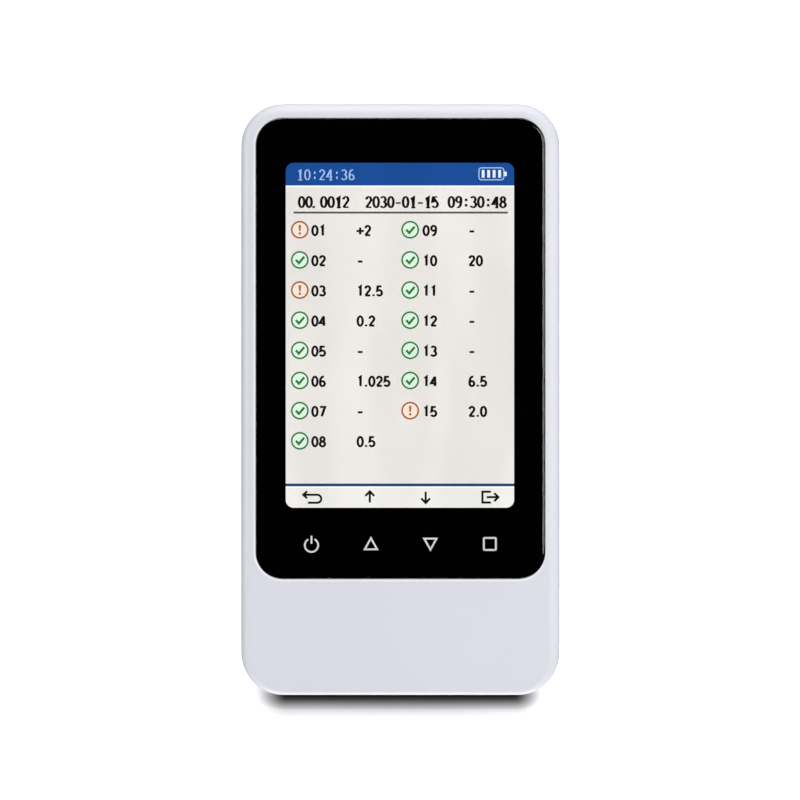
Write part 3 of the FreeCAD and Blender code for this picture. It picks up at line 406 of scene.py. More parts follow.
@dataclass(frozen=True)
class WorkedMetal(Finish):
    """Metal with the lines of rolling, turning or winding, which draw a highlight out.

    The lines run the way that along stretches the noise. Real ones are about 0.02 mm wide, and
    they are drawn coarser here so that they show. Handling and plating leave cloudy stains.
    """

    colour: str
    roughness: float
    line: float
    along: Triple = (1, 0.04, 1)
    stain: str = ""
    relief: float = 0.003
    cloud: float = 4.0
    cloud_edge: Point = (0.35, 0.62)
    shade: float = 0.86
    gloss_change: Point = (-0.05, 0.08)

    def shader(self, tree: Tree) -> Socket:
        """Builds the metal.

        Args:
            tree: Node tree of the material.

        Returns:
            The shader socket.
        """
        lines = self.pattern(tree, self.line, detail=3.0, stretch=self.along)
        cloud = self.pattern(tree, self.cloud, detail=4.0)
        base = linear(self.colour)
        stain = linear(self.stain) if self.stain else dimmed(base, self.shade)
        stops = zip(self.cloud_edge, (stain, base))
        tones = add(tree, "ValToRGB", {"Fac": cloud}, stops, interpolation="EASE")
        bump = {"Height": lines, "Distance": self.relief * MM, "Strength": 1.0}
        low, high = (self.roughness + change for change in self.gloss_change)
        gloss = {"Value": lines, "To Min": low, "To Max": high}
        change = add(tree, "MapRange", gloss | NOISE_SPAN, interpolation_type="SMOOTHSTEP")
        settings = {
            "Base Color": tones.outputs["Color"],
            "Metallic": 1.0,
            "Roughness": change.outputs["Result"],
            "Normal": add(tree, "Bump", bump).outputs["Normal"],
        }
        return add(tree, "BsdfPrincipled", settings).outputs["BSDF"]


@dataclass(frozen=True)
class CircuitLaminate(Finish):
    """Glass-epoxy laminate under solder mask: glossy green over copper, darker between tracks."""

    mask: str = "#0F5A35"
    gap: str = "#0A3F26"
    pitch: float = 1.3
    run: Triple = (1, 0.35, 1)
    track_edge: Point = (0.4, 0.46)
    relief: float = 0.03

    def shader(self, tree: Tree) -> Socket:
        """Builds the board's mask with its tracks.

        Args:
            tree: Node tree of the material.

        Returns:
            The shader socket.
        """
        where = add(tree, "TexCoord").outputs["Object"]
        where = add(tree, "Mapping", {"Vector": where, "Scale": self.run}).outputs["Vector"]
        inputs = {"Vector": where, "Scale": 1 / (self.pitch * MM)}
        cells = add(tree, "TexVoronoi", inputs, distance="CHEBYCHEV").outputs["Distance"]
        stops = zip(self.track_edge, (linear(self.mask), linear(self.gap)))
        tones = add(tree, "ValToRGB", {"Fac": cells}, stops, interpolation="EASE")
        bump = {"Height": cells, "Distance": self.relief * MM, "Strength": 0.6}
        settings = {
            "Base Color": tones.outputs["Color"],
            "Roughness": 0.3,
            "IOR": 1.55,
            "Normal": add(tree, "Bump", bump).outputs["Normal"],
        }
        return add(tree, "BsdfPrincipled", settings).outputs["BSDF"]


@dataclass(frozen=True)
class BackdropPaper(Finish):
    """Matte backdrop paper, mid-grey for lamps and mirrors, so that it throws little light.

    The camera sees it lifted to white, with the case's cast shadow on it, plain white far out,
    and a painted shadow in a dark strip along the case's lower end, which no lamp casts.
    Lengths are in metres.
    """

    shade: float = 0.25
    white: float = 2.3
    fade: Point = (0.4, 0.8)
    case_corner: float = 0.009
    painted_shadow_reach: float = 0.008
    painted_shadow_turn: float = 4.5
    # Painted shadow along the case's lower end: share of the way out from the case, and
    # how white the paper is there.
    painted_shadow_stops: tuple[Point, ...] = (
        (0.0, 0.002),
        (0.28, 0.003),
        (0.31, 0.012),
        (0.37, 0.027),
        (0.44, 0.08),
        (0.5, 0.145),
        (0.6, 0.265),
        (0.66, 0.37),
        (0.72, 0.43),
        (0.83, 0.5),
        (1.0, 1.0),
    )

    def shader(self, tree: Tree) -> Socket:
        """Builds the paper.

        Args:
            tree: Node tree of the material.

        Returns:
            The shader socket.
        """
        where = add(tree, "TexCoord").outputs["Object"]
        seen = add(tree, "LightPath").outputs["Is Camera Ray"]
        shades = {SHARE: seen, FIRST: grey(self.shade), SECOND: self.lifted(tree, where)}
        colour = add(tree, "Mix", shades, data_type="RGBA").outputs[MIXED]
        paper = add(tree, "BsdfDiffuse", {"Color": colour}).outputs["BSDF"]
        reach = add(tree, "VectorMath", {0: where}, operation="LENGTH").outputs["Value"]
        near, far = self.fade
        fade = {"Value": reach, "From Min": near, "From Max": far, "To Max": seen}
        share = add(tree, "MapRange", fade).outputs["Result"]
        white = add(tree, "Emission", {"Color": grey(1.0)}).outputs["Emission"]
        return add(tree, "MixShader", {0: share, 1: paper, 2: white}).outputs["Shader"]

    def lifted(self, tree: Tree, where: Socket) -> Socket:
        """Paints a shadow into the paper's white: a narrow dark strip along the case's lower end.

        Args:
            tree: Node tree of the material.
            where: Place on the floor.

        Returns:
            The colour that the camera sees.
        """
        # Painted shadow, cast by no lamp: darkest at the case's outline along its lower end, it
        # fades round the corners and turns white 8 mm out.
        core = (CAD_BOX[1].x - self.case_corner, CAD_BOX[1].y - self.case_corner, 0)
        along = add(tree, "SeparateXYZ", {"Vector": where}).outputs["Y"]
        front = add(tree, "Math", {0: along, 1: 0.0}, operation="LESS_THAN").outputs[0]
        mirrored = add(tree, "VectorMath", {0: where}, operation="ABSOLUTE").outputs[0]
        past = add(tree, "VectorMath", {0: mirrored, 1: core}, operation="SUBTRACT").outputs[0]
        corner = add(tree, "VectorMath", {0: past, 1: (0, 0, 0)}, operation="MAXIMUM").outputs[0]
        reach = add(tree, "VectorMath", {0: corner}, operation="LENGTH").outputs["Value"]
        down = add(tree, "SeparateXYZ", {"Vector": corner}).outputs["Y"]
        share = add(tree, "Math", {0: down, 1: reach}, operation="DIVIDE").outputs[0]
        share = add(tree, "Math", {0: share, 1: self.painted_shadow_turn}, operation="POWER").outputs[0]
        share = add(tree, "Math", {0: share, 1: front}, operation="MULTIPLY").outputs[0]
        near, far = self.case_corner, self.case_corner + self.painted_shadow_reach
        out = add(tree, "MapRange", {"Value": reach, "From Min": near, "From Max": far})
        fac = {"Fac": out.outputs["Result"]}
        stops = ((spot, grey(self.white * light)) for spot, light in self.painted_shadow_stops)
        strip = add(tree, "ValToRGB", fac, stops, interpolation="LINEAR").outputs["Color"]
        whites = {SHARE: share, FIRST: grey(self.white), SECOND: strip}
        return add(tree, "Mix", whites, data_type="RGBA").outputs[MIXED]


# Cool white with a low gloss: lamps lie on it as soft bands, and the tone hardly changes.
WHITE_ABS = MouldedPlastic("white_abs_gloss_moulded", "#DDDEE6", 0.3, Texture.POLISHED, tone=0.012)
# The same white with a fine sandy face, so that it looks flatter and mirrors nothing.
REAR_ABS = MouldedPlastic("white_abs_spark_textured", "#DDDEE6", 0.46, tone=0.02)
# Deep and clear: the print behind it is pure black, with a bright line round the ground edge.
COVER_GLASS = ClearSolid("toughened_cover_glass_polished")
# Nothing but a trace of streaks, because the bond fills the gap on both its sides.
TOUCH_FILM = ClearFilm("touch_film_bonded")
# Dead black and open-celled: it swallows the light beside the display.
FOAM_TAPE = MouldedPlastic("black_foam_tape_cut", "#0B0B0C", 0.8, Texture.AS_MACHINED, 1.45)
# Warm near-black without a gloss of its own, so that only the glass before it mirrors.
BLACK_INK = PrintedInk("black_ceramic_ink_screen_printed", "#040203")
# Soft even white that stands out from the black, with a painted glow: it gives off a
# little light of its own, in place of lamp light falling on it through the glass.
WHITE_INK_WITH_PAINTED_GLOW = PrintedInk("white_ink_screen_printed_painted_glow", "#E9E9E6", 0.35)
# Bright neutral grey, with highlights drawn out across the fine lines of the rolls.
PRESSED_STEEL = WorkedMetal("stainless_steel_rolled", "#B9BABC", 0.3, 0.15)
# Cool pale grey, cloudier and duller than bare steel.
ZINC_SCREW = WorkedMetal("steel_zinc_plated", "#AEB4BA", 0.32, 0.12, (1, 1, 0.1), "#9FA3A0")
# Soft charcoal that spreads each highlight to a grey haze.
FOOT_RUBBER = MouldedPlastic("black_rubber_moulded", "#1B1B1D", 0.72, ior=1.52, tone=0.15)
# Clear amber brown, smooth, and darker in clouds where the adhesive is thicker.
POLYIMIDE = MouldedPlastic(
    "polyimide_flex_laminated", "#9A5A1C", 0.35, Texture.AS_MACHINED, 1.7, 0.2
)
# Glossy green with a darker net between the tracks.
SOLDER_MASK = CircuitLaminate("glass_epoxy_solder_masked")
# Charcoal with a fine grain and a dull sheen.
EPOXY = MouldedPlastic("black_epoxy_moulded", "#151517", 0.55, ior=1.55, tone=0.1)
# Waxy cream that lets light a little way in, so its thin edges look warm.
NYLON = MouldedPlastic(
    "natural_nylon_moulded", "#D9CDB4", 0.4, Texture.AS_MACHINED, 1.53, 0.05, 0.3
)
# Pale foil whose mirror is broken up by the shallow dents of pressing.
POUCH_FOIL = WorkedMetal("aluminium_laminate_pressed", "#C4C6C9", 0.38, 0.8, (1, 1, 1))
# Even red with one soft line of light along each wire.
WIRE_PVC = MouldedPlastic("red_pvc_extruded", "#A01518", 0.35, Texture.AS_MACHINED, 1.54, 0.05)
# Soft black with a fine sandy face and grey highlights.
BLACK_ABS = MouldedPlastic("black_abs_spark_textured", "#232326", 0.5, tone=0.08)
# Plain mid-grey with a satin shine, so that it stands back from the white case.
GREY_ABS = MouldedPlastic(
    "grey_abs_satin_moulded", "#8F9296", 0.42, Texture.AS_MACHINED, tone=0.04
)
# Neutral white with a satin shine, a little brighter than the case.
HOLDER_ABS = MouldedPlastic(
    "white_abs_satin_moulded", "#E6E7E6", 0.4, Texture.AS_MACHINED, tone=0.02
)
# Milky white and slippery-looking, with teeth that let some light through.
ACETAL = MouldedPlastic(
    "natural_acetal_moulded", "#EDEBE2", 0.36, Texture.AS_MACHINED, 1.48, 0.03, 0.25
)
# Warm yellow with the hob's lines along each tooth.
BRASS = WorkedMetal("brass_hobbed", "#D8B25E", 0.26, 0.1, (1, 1, 0.05))
# Orange brown, with a bright thread on each turn of wire.
COPPER_COIL = WorkedMetal("copper_wire_enamelled_wound", "#B5602F", 0.3, 0.12, (0.02, 0.02, 1))
# Dark grey and grainy, with only a dull mirror.
FERRITE = WorkedMetal("ferrite_sintered", "#3A3A3D", 0.55, 0.3, (1, 1, 1))
# Clear but softer than glass, so that a lamp in it is a rounded glint.
LENS = ClearSolid("clear_acrylic_moulded", 0.03, 1.49)
# White and wet-looking, a thin bright line between glass and case.
SEALANT = MouldedPlastic(
    "white_silicone_sealant_wiped", "#E9EAEE", 0.24, Texture.POLISHED, 1.41, 0.02
)
# Flat silver grey with a satin shine.
LABEL_FILM = MouldedPlastic(
    "silver_polyester_film_cut", "#C9CBCD", 0.42, Texture.AS_MACHINED, 1.6, 0.03
)
# Deep yellow and bright, with the rolling lines of the copper under it.
GOLD_PAD = WorkedMetal("copper_pad_gold_plated", "#E0B350", 0.2, 0.1)
# Black and fine-grained, with a faint gloss that shows the tongue's edge in the dark socket.
SOCKET_RESIN = MouldedPlastic(
    "black_liquid_crystal_polymer_moulded", "#1A1A1C", 0.4, Texture.AS_MACHINED, 1.6, 0.1
)
# Flat mid-grey, so that the line stays quiet on the silver film.
LABEL_INK = PrintedInk("grey_ink_screen_printed", "#6E7276")
# Flat white without a shine, so that nothing but the analyzer draws the eye, with a
# painted shadow in a dark strip along the case's lower end.
PAPER = BackdropPaper("paper_floor_matte")

NODE_FINISHES: dict[str, Finish] = {
    "front_shell": WHITE_ABS,
    "rear_shell": REAR_ABS,
    "tray_front": WHITE_ABS,
    "case_screws": ZINC_SCREW,
    "rubber_feet": FOOT_RUBBER,
    "cover_glass": COVER_GLASS,
    "touch_sensor": TOUCH_FILM,
    "bond_frame": FOAM_TAPE,
    "lcd_panel": EPOXY,
    "lcd_backlight": PRESSED_STEEL,
    "lcd_ribbon": POLYIMIDE,
    "main_board": SOLDER_MASK,
    "charging_socket": PRESSED_STEEL,
    "board_chips": EPOXY,
    "radio_module": PRESSED_STEEL,
    "buzzer": EPOXY,
    "battery_socket": NYLON,
    "battery_cell": POUCH_FOIL,
    "battery_leads": WIRE_PVC,
    "board_screws": ZINC_SCREW,
    "battery_cradle": BLACK_ABS,
    "cradle_screws": ZINC_SCREW,
    "tray_guide": BLACK_ABS,
    "guide_screws": ZINC_SCREW,
    "home_sensor": EPOXY,
    "tray_carriage": GREY_ABS,
    "strip_holder": HOLDER_ABS,
    "calibration_tile": HOLDER_ABS,
    "tray_gear": ACETAL,
    "motor_pinion": BRASS,
    "gear_axle": PRESSED_STEEL,
    "motor_plate": PRESSED_STEEL,
    "plate_screws": ZINC_SCREW,
    "motor_can": PRESSED_STEEL,
    "motor_coils": COPPER_COIL,
    "motor_magnet": FERRITE,
    "motor_shaft": PRESSED_STEEL,
    "reader_housing": BLACK_ABS,
    "reader_lens": LENS,
    "reader_board": SOLDER_MASK,
    "reader_lamps": LENS,
    "photo_sensor": EPOXY,
    "reader_ribbon": POLYIMIDE,
}


# ---------------------------------------------------------------- outlines and meshes


def rounded_outline(width: float, length: float, radius: float, steps: int) -> Outline:
    """A rectangle with round corners, centred on the origin, anticlockwise.

    Args:
        width: Size along X.
        length: Size along Y.
        radius: Corner radius.
        steps: Segments in each corner.

    Returns:
        The outline's points, the same number for every size.
    """
    points = []
    for quarter, (side, end) in enumerate(((1, 1), (-1, 1), (-1, -1), (1, -1))):
        x = side * (width / 2 - radius)
        y = end * (length / 2 - radius)
        for step in range(steps + 1):
            angle = math.pi / 2 * (quarter + step / steps)
            points.append((x + radius * math.cos(angle), y + radius * math.sin(angle)))
    return points


def arc(centre: Point, radii: Point, start: float, end: float, steps: int) -> Outline:
    """Points along an elliptic arc.

    Args:
        centre: Centre of the ellipse.
        radii: Half width and half height.
        start: First angle in degrees, anticlockwise from +X.
        end: Last angle in degrees.
        steps: Segments.

    Returns:
        The points from start to end.
    """
    x, y = centre
    across, up = radii
    angles = (math.radians(start + (end - start) * i / steps) for i in range(steps + 1))
    return [(x + across * math.cos(angle), y + up * math.sin(angle)) for angle in angles]


def ellipse(centre: Point, radii: Point, steps: int) -> Outline:
    """A closed elliptic outline with that many sides."""
    return arc(centre, radii, 0, 360 - 360 / steps, steps - 1)


def moved(points: Iterable[Point], x: float, y: float) -> Outline:
    """The points moved by x and y."""
    return [(px + x, py + y) for px, py in points]


def loft(outlines: Sequence[tuple[Outline, float]], ring: bool = False) -> bmesh.types.BMesh:
    """A closed solid through outlines at their heights, in millimetres.

    Args:
        outlines: Outline and its height, all with as many points.
        ring: Joins the last outline to the first, in place of the two end faces.

    Returns:
        The solid in metres.
    """
    mesh = bmesh.new()
    rows = [[mesh.verts.new((x * MM, y * MM, z * MM)) for x, y in line] for line, z in outlines]
    count = len(rows[0])
    following = rows[1:] + rows[:1] if ring else rows[1:]
    for below, above in zip(rows, following):
        for i in range(count):
            j = (i + 1) % count
            mesh.faces.new((below[i], below[j], above[j], above[i]))
    if not ring:
        mesh.faces.new(rows[0][::-1])
        mesh.faces.new(rows[-1])
    return mesh


def stand(mesh: bmesh.types.BMesh, name: str, finish: Finish) -> bpy.types.Object:
    """Puts a bmesh into the scene.

    Args:
        mesh: Geometry in metres. It is freed.
        name: Name of the object.
        finish: Its finish.

    Returns:
        The object.
    """
    data = bpy.data.meshes.new(name)
    mesh.to_mesh(data)
    mesh.free()
    data.materials.append(finish.material())
    piece = bpy.data.objects.new(name, data)
    bpy.context.scene.collection.objects.link(piece)
    return piece


def settle(
    mesh: bmesh.types.BMesh,
    name: str,
    finish: Finish,
    smooth_angle: float | None = None,
) -> bpy.types.Object:
    """Turns a bmesh into a finished object that rides on the case.

    Args:
        mesh: Geometry in metres. It is freed.
        name: Piece name.
        finish: Its finish.
        smooth_angle: Shades smooth where faces meet at less than this, in degrees.

    Returns:
        The object.
    """
    bmesh.ops.recalc_face_normals(mesh, faces=mesh.faces)
    piece = stand(mesh, name, finish)
    if smooth_angle is not None:
        piece.data.shade_smooth()
        piece.data.set_sharp_from_angle(angle=math.radians(smooth_angle))
    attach(piece, CASE)
    return piece


@dataclass
class Sheet:
    """Collects flat shapes of one finish, in millimetres, as closed plates on one level."""

    name: str
    finish: Finish
    level: float
    thickness: float = 0.01
    slot: str = "display_cell"
    mesh: bmesh.types.BMesh = field(default_factory=bmesh.new, init=False, repr=False)

    def _plate(self, *loops: Outline) -> None:
        """Adds a closed plate.

        Args:
            *loops: Its outline, and the outline of a hole in it, which has as many points.
        """
        low, high = self.level, self.level + self.thickness
        rows = [
            [self.mesh.verts.new((x * MM, y * MM, z * MM)) for x, y in loop]
            for loop in loops
            for z in (low, high)
        ]
        count = len(loops[0])
        for row in range(0, len(rows), 2):
            below, above = rows[row], rows[row + 1]
            for i in range(count):
                j = (i + 1) % count
                side = (below[i], below[j], above[j], above[i])
                self.mesh.faces.new(side if row == 0 else side[::-1])
        if len(loops) == 1:
            self.mesh.faces.new(rows[1])
            self.mesh.faces.new(rows[0][::-1])
            return
        for i in range(count):
            j = (i + 1) % count
            self.mesh.faces.new((rows[1][i], rows[1][j], rows[3][j], rows[3][i]))
            self.mesh.faces.new((rows[0][j], rows[0][i], rows[2][i], rows[2][j]))

    def fill(self, outline: Outline) -> None:
        """Adds a filled outline, given anticlockwise."""
        self._plate(outline)

    def hoop(self, outer: Outline, inner: Outline) -> None:
        """Adds the band between two outlines with as many points each."""
        self._plate(outer, inner)

    def block(self, left: float, low: float, right: float, high: float) -> None:
        """Adds a rectangle."""
        self._plate([(left, low), (right, low), (right, high), (left, high)])

    def finished(self) -> bpy.types.Object:
        """Turns the shapes into an object that rides on the case."""
        return settle(self.mesh, self.name, self.finish)


# ---------------------------------------------------------------- drawing with a pen


@dataclass(frozen=True)
class Pen:
    """A flat pen: how thick an upright and a level stroke come out, in millimetres."""

    upright: float
    level: float
    least_mitre: float = 0.35

    def _offset(self, normal: Vector) -> Vector:
        """Edge of the pen in a direction.

        Args:
            normal: Unit vector across the stroke.

        Returns:
            The way from the stroke's middle to its edge.
        """
        a, b = self.upright / 2, self.level / 2
        reach = math.hypot(a * normal.x, b * normal.y)
        return Vector((a * a * normal.x, b * b * normal.y)) / reach

    def edges(self, path: Outline, closed: bool) -> tuple[Outline, Outline]:
        """Left and right edge of a stroke along a path.

        Args:
            path: Points of the stroke.
            closed: Whether the last point joins the first.

        Returns:
            The two edges, with as many points as the path.
        """
        spots = [Vector(p) for p in path]
        count = len(spots)
        left, right = [], []
        for i, spot in enumerate(spots):
            ways = []
            if i or closed:
                ways.append((spot - spots[i - 1]).normalized())
            if i + 1 < count or closed:
                ways.append((spots[(i + 1) % count] - spot).normalized())
            way = sum(ways, Vector((0, 0))).normalized()
            mitre = max(self.least_mitre, abs(way.dot(ways[0])))
            offset = self._offset(Vector((-way.y, way.x))) / mitre
            left.append(tuple(spot + offset))
            right.append(tuple(spot - offset))
        return left, right

    def stroke(self, sheet: Sheet, path: Iterable[Point], closed: bool = False) -> None:
        """Draws a stroke.

        Args:
            sheet: Where to draw.
            path: Points of the stroke.
            closed: Whether the last point joins the first.
        """
        left, right = self.edges(list(path), closed)
        if closed:
            sheet.hoop(right, left)
        else:
            sheet.fill(right + left[::-1])


Stroke = tuple[Outline, bool]


def line(*points: Point) -> Stroke:
    """An open stroke through the points."""
    return list(points), False


def loop(points: Outline) -> Stroke:
    """A closed stroke round the points."""
    return points, True


def digit_strokes(serifs: bool) -> dict[str, list[Stroke]]:
    """Strokes of each numeral and mark in a box of width 0.62 and height 1.

    Args:
        serifs: Whether the numerals have feet, as on the display's head line.

    Returns:
        Character to its strokes.
    """
    width = 0.62
    bowl = arc((0.31, 0.28), (0.20, 0.24), 0, 345, 24)
    back = arc((0.36, 0.42), (0.25, 0.53), 72, 190, 12)
    turned_bowl, turned_back = ([(width - x, 1 - y) for x, y in path] for path in (bowl, back))
    strokes = {
        "0": [loop(arc((0.31, 0.5), (0.22, 0.45), 0, 348, 28))],
        "1": [line((0.17, 0.79), (0.34, 0.95), (0.34, 0.03))],
        "2": [
            line((0.11, 0.72), *arc((0.31, 0.71), (0.20, 0.24), 160, -25, 14), (0.11, 0.06)),
            line((0.08, 0.06), (0.54, 0.06)),
        ],
        "3": [
            line(*arc((0.29, 0.73), (0.19, 0.22), 155, -90, 16)),
            line(*arc((0.29, 0.28), (0.23, 0.23), 90, -155, 16)),
        ],
        "4": [line((0.57, 0.30), (0.09, 0.30), (0.42, 0.97)), line((0.43, 0.03), (0.43, 0.97))],
        "5": [
            line(
                (0.50, 0.94),
                (0.17, 0.94),
                (0.13, 0.50),
                *arc((0.30, 0.31), (0.23, 0.26), 115, -150, 16),
            )
        ],
        "6": [loop(bowl), line(*back)],
        "7": [line((0.09, 0.94), (0.53, 0.94), (0.25, 0.03))],
        "8": [
            loop(arc((0.31, 0.73), (0.17, 0.21), 0, 345, 24)),
            loop(arc((0.31, 0.27), (0.22, 0.23), 0, 345, 24)),
        ],
        "9": [loop(turned_bowl), line(*turned_back)],
        ":": [line((0.31, 0.12), (0.31, 0.33)), line((0.31, 0.58), (0.31, 0.79))],
        ".": [line((0.31, -0.01), (0.31, 0.17))],
        "-": [line((0.10, 0.42), (0.52, 0.42))],
        "+": [line((-0.02, 0.46), (0.64, 0.46)), line((0.31, 0.13), (0.31, 0.79))],
    }
    if serifs:
        strokes["1"].append(line((0.16, 0.03), (0.52, 0.03)))
        strokes["4"].append(line((0.28, 0.03), (0.56, 0.03)))
        strokes["7"].append(line((0.09, 0.94), (0.09, 0.82)))
        strokes["."] = [line((0.08, -0.01), (0.08, 0.17))]
    return strokes


@dataclass(frozen=True)
class Numerals:
    """Writes plain numbers with a pen, at one width or with narrow points."""

    pen: Pen
    height: float
    advance: float
    serifs: bool = False
    stretch: float = 1.0
    narrow: float = 1.0

    def write(self, sheet: Sheet, text: str, x: float, y: float) -> None:
        """Writes text on a sheet.

        Args:
            sheet: Where to draw.
            text: Digits and marks.
            x: Left side of the first character's box.
            y: Middle height of the line.
        """
        shapes = digit_strokes(self.serifs)
        wide = self.height * self.stretch
        left = x
        for character in text:
            advance = self.advance * (self.narrow if character in ".:" else 1.0)
            start = left + (advance - self.advance) / 2
            for path, closed in shapes[character]:
                points = [(start + px * wide, y + (py - 0.5) * self.height) for px, py in path]
                self.pen.stroke(sheet, points, closed)
            left += advance


# ---------------------------------------------------------------- cover glass


@dataclass(frozen=True)
class PowerMark:
    """Power sign: an open ring with a stem through its gap."""

    radius: float = 1.42
    drop: float = 0.28
    gap_angles: Point = (118, 422)
    steps: int = 32
    stem: Point = (0.05, 1.75)


@dataclass(frozen=True)
class ArrowMark:
    """Triangle that points up or down: half its base, and its base's and tip's height."""

    half: float = 1.32
    base: float = -1.14
    tip: float = 1.22


@dataclass
class CoverGlass:
    """The black-bordered glass with its window, and the four touch keys printed behind it."""

    # The pane: its corners, the flat ring just inside each face, its lower and upper edge.
    corner: float = 6.0
    corner_steps: int = 24
    support: float = 0.1
    arris: float = 0.12
    edge_width: float = 0.85
    edge_drop: float = 0.42
    edge_steps: int = 8
    smooth_angle: float = 50
    # The sealant: the gap and the case's chamfer that it fills, and how it laps the pane.
    gap: float = 0.145
    chamfer: float = 0.2
    bead_clear: float = 0.006
    bead_reach: float = 0.15
    bead_fall: float = 0.17
    bead_turn: float = 60
    bead_steps: int = 8
    bead_lap: Triple = (0.12, 0.08, 0.04)
    bead_smooth_angle: float = 40
    # The print behind the glass.
    ink_depth: float = 0.06
    ink_thickness: float = 0.02
    ink_inset: float = 0.2
    key_lift: float = 0.03
    # The window: its corners, and its place from the glass's sides and upper end.
    window_radius: float = 1.7
    window_side: float = 6.685
    window_offset: float = -0.115
    window_drop: float = 9.7
    window_length: float = 73.44
    # The four key marks.
    key_pitch: float = 12.66
    key_height: float = -30.85
    key_offset: float = 0.04
    key_pen: Pen = Pen(0.4, 0.4)
    power: PowerMark = PowerMark()
    arrow: ArrowMark = ArrowMark()
    stop_side: float = 2.56
    stop_radius: float = 0.18
    # The glass's place in the frame.
    low: float = field(init=False)
    high: float = field(init=False)
    width: float = field(init=False)
    length: float = field(init=False)
    middle: float = field(init=False)
    rear: float = field(init=False)

    def __post_init__(self) -> None:
        """Reads the glass's place from the frame."""
        low, high = (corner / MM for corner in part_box("cover_glass"))
        self.low, self.high, self.rear = low.z, high.z, high.y
        self.width, self.length = high.x - low.x, high.y - low.y
        self.middle = (low.y + high.y) / 2

    def outline(self, inset: float) -> Outline:
        """Draws round the glass.

        Args:
            inset: Distance inside its edge.

        Returns:
            The outline.
        """
        width, length = self.width - 2 * inset, self.length - 2 * inset
        shape = rounded_outline(width, length, self.corner - inset, self.corner_steps)
        return moved(shape, 0, self.middle)

    def window(self) -> tuple[float, float, float, float]:
        """Finds the display window.

        Returns:
            Its left, low, right and high side.
        """
        half = self.width / 2 - self.window_side
        high = self.rear - self.window_drop
        middle = self.window_offset
        return middle - half, high - self.window_length, middle + half, high

    def glass(self) -> bpy.types.Object:
        """Makes the clear pane, with its upper edge ground round.

        Returns:
            The pane.
        """
        rows = [
            (self.outline(self.arris + self.support), self.low),
            (self.outline(self.arris), self.low),
            (self.outline(0), self.low + self.arris),
        ]
        for step in range(self.edge_steps + 1):
            turn = math.pi / 2 * step / self.edge_steps
            inset = self.edge_width * (1 - math.cos(turn))
            drop = self.edge_drop * (1 - math.sin(turn))
            rows.append((self.outline(inset), self.high - drop))
        rows.append((self.outline(self.edge_width + self.support), self.high))
        solid = loft(rows)
        piece = settle(solid, "cover_pane", COVER_GLASS, self.smooth_angle)
        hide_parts("cover_glass")
        return piece

    def border(self) -> bpy.types.Object:
        """Makes the black print round the window.

        Returns:
            The print.
        """
        left, low, right, high = self.window()
        inner = rounded_outline(right - left, high - low, self.window_radius, self.corner_steps)
        level = self.low + self.ink_depth
        sheet = Sheet("black_border", BLACK_INK, level, self.ink_thickness, "black_tape")
        hole = moved(inner, (left + right) / 2, (low + high) / 2)
        sheet.hoop(self.outline(self.ink_inset), hole)
        return sheet.finished()

    def pane_drop(self, inset: float) -> float:
        """How far the pane's rounded edge lies below its face at an inset from its outline."""
        level = 1 - inset / self.edge_width
        return self.edge_drop * (1 - math.sqrt(1 - level * level))

    def bead(self) -> bpy.types.Object:
        """Makes the sealant that fills the gap round the pane and laps its rounded edge.

        Returns:
            The bead.
        """
        outer = self.gap + self.chamfer - self.bead_clear
        profile = [(self.gap, self.low), (self.gap, self.high - self.chamfer - self.bead_clear)]
        whole = math.radians(self.bead_turn)
        for step in range(self.bead_steps + 1):
            turn = whole * step / self.bead_steps
            across = (outer + self.bead_reach) * math.sin(turn) / math.sin(whole)
            fall = self.bead_fall * (1 - math.cos(turn)) / (1 - math.cos(whole))
            profile.append((outer - across, self.high - self.bead_clear - fall))
        for inset in self.bead_lap:
            profile.append((-inset, self.high - self.pane_drop(inset) + self.bead_clear))
        profile += [(self.bead_clear, self.high - self.edge_drop), (self.bead_clear, self.low)]
        solid = loft([(self.outline(-reach), height) for reach, height in profile], ring=True)
        return settle(solid, "sealant_bead", SEALANT, self.bead_smooth_angle)

    def keys(self) -> bpy.types.Object:
        """Makes the power, up, down and stop marks.

        Returns:
            The marks, as one piece.
        """
        level = self.low + self.ink_depth + self.key_lift
        sheet = Sheet("key_marks", WHITE_INK_WITH_PAINTED_GLOW, level, self.ink_thickness, "white_shell")
        y, pen = self.key_height, self.key_pen
        steps = (-1.5, -0.5, 0.5, 1.5)
        power, up, down, stop = (self.key_offset + self.key_pitch * step for step in steps)
        mark = self.power
        radii = (mark.radius, mark.radius)
        pen.stroke(sheet, arc((power, y - mark.drop), radii, *mark.gap_angles, mark.steps))
        pen.stroke(sheet, [(power, y + end) for end in mark.stem])
        for middle, way in ((up, 1), (down, -1)):
            base, tip = self.arrow.base * way, self.arrow.tip * way
            arrow = [(-self.arrow.half, base), (self.arrow.half, base), (0, tip)][::way]
            pen.stroke(sheet, moved(arrow, middle, y), closed=True)
        square = rounded_outline(self.stop_side, self.stop_side, self.stop_radius, steps=4)
        pen.stroke(sheet, moved(square, stop, y), closed=True)
        return sheet.finished()

    def build(self) -> list[bpy.types.Object]:
        """Makes the pane, its sealant, its print and its keys."""
        return [self.glass(), self.bead(), self.border(), self.keys()]


# ---------------------------------------------------------------- display picture


class Mark(Enum):
    """State mark in front of a result."""

    GOOD = "good"
    WATCH = "watch"


@dataclass(frozen=True)
class Column:
    """A column of results.

    It says where its marks, numbers and values stand across the window, then its first number,
    its results, and the numbers of those that need watching.
    """

    marks: float
    numbers: float
    values: float
    first: int
    results: tuple[str, ...]
    watched: tuple[int, ...]


COLUMNS = (
    Column(2.98, 5.45, 15.1, 1, ("+2", "-", "12.5", "0.2", "-", "1.025", "-", "0.5"), (1, 3)),
    Column(26.5, 29.15, 38.9, 9, ("-", "20", "-", "-", "-", "6.5", "2.0"), (15,)),
)


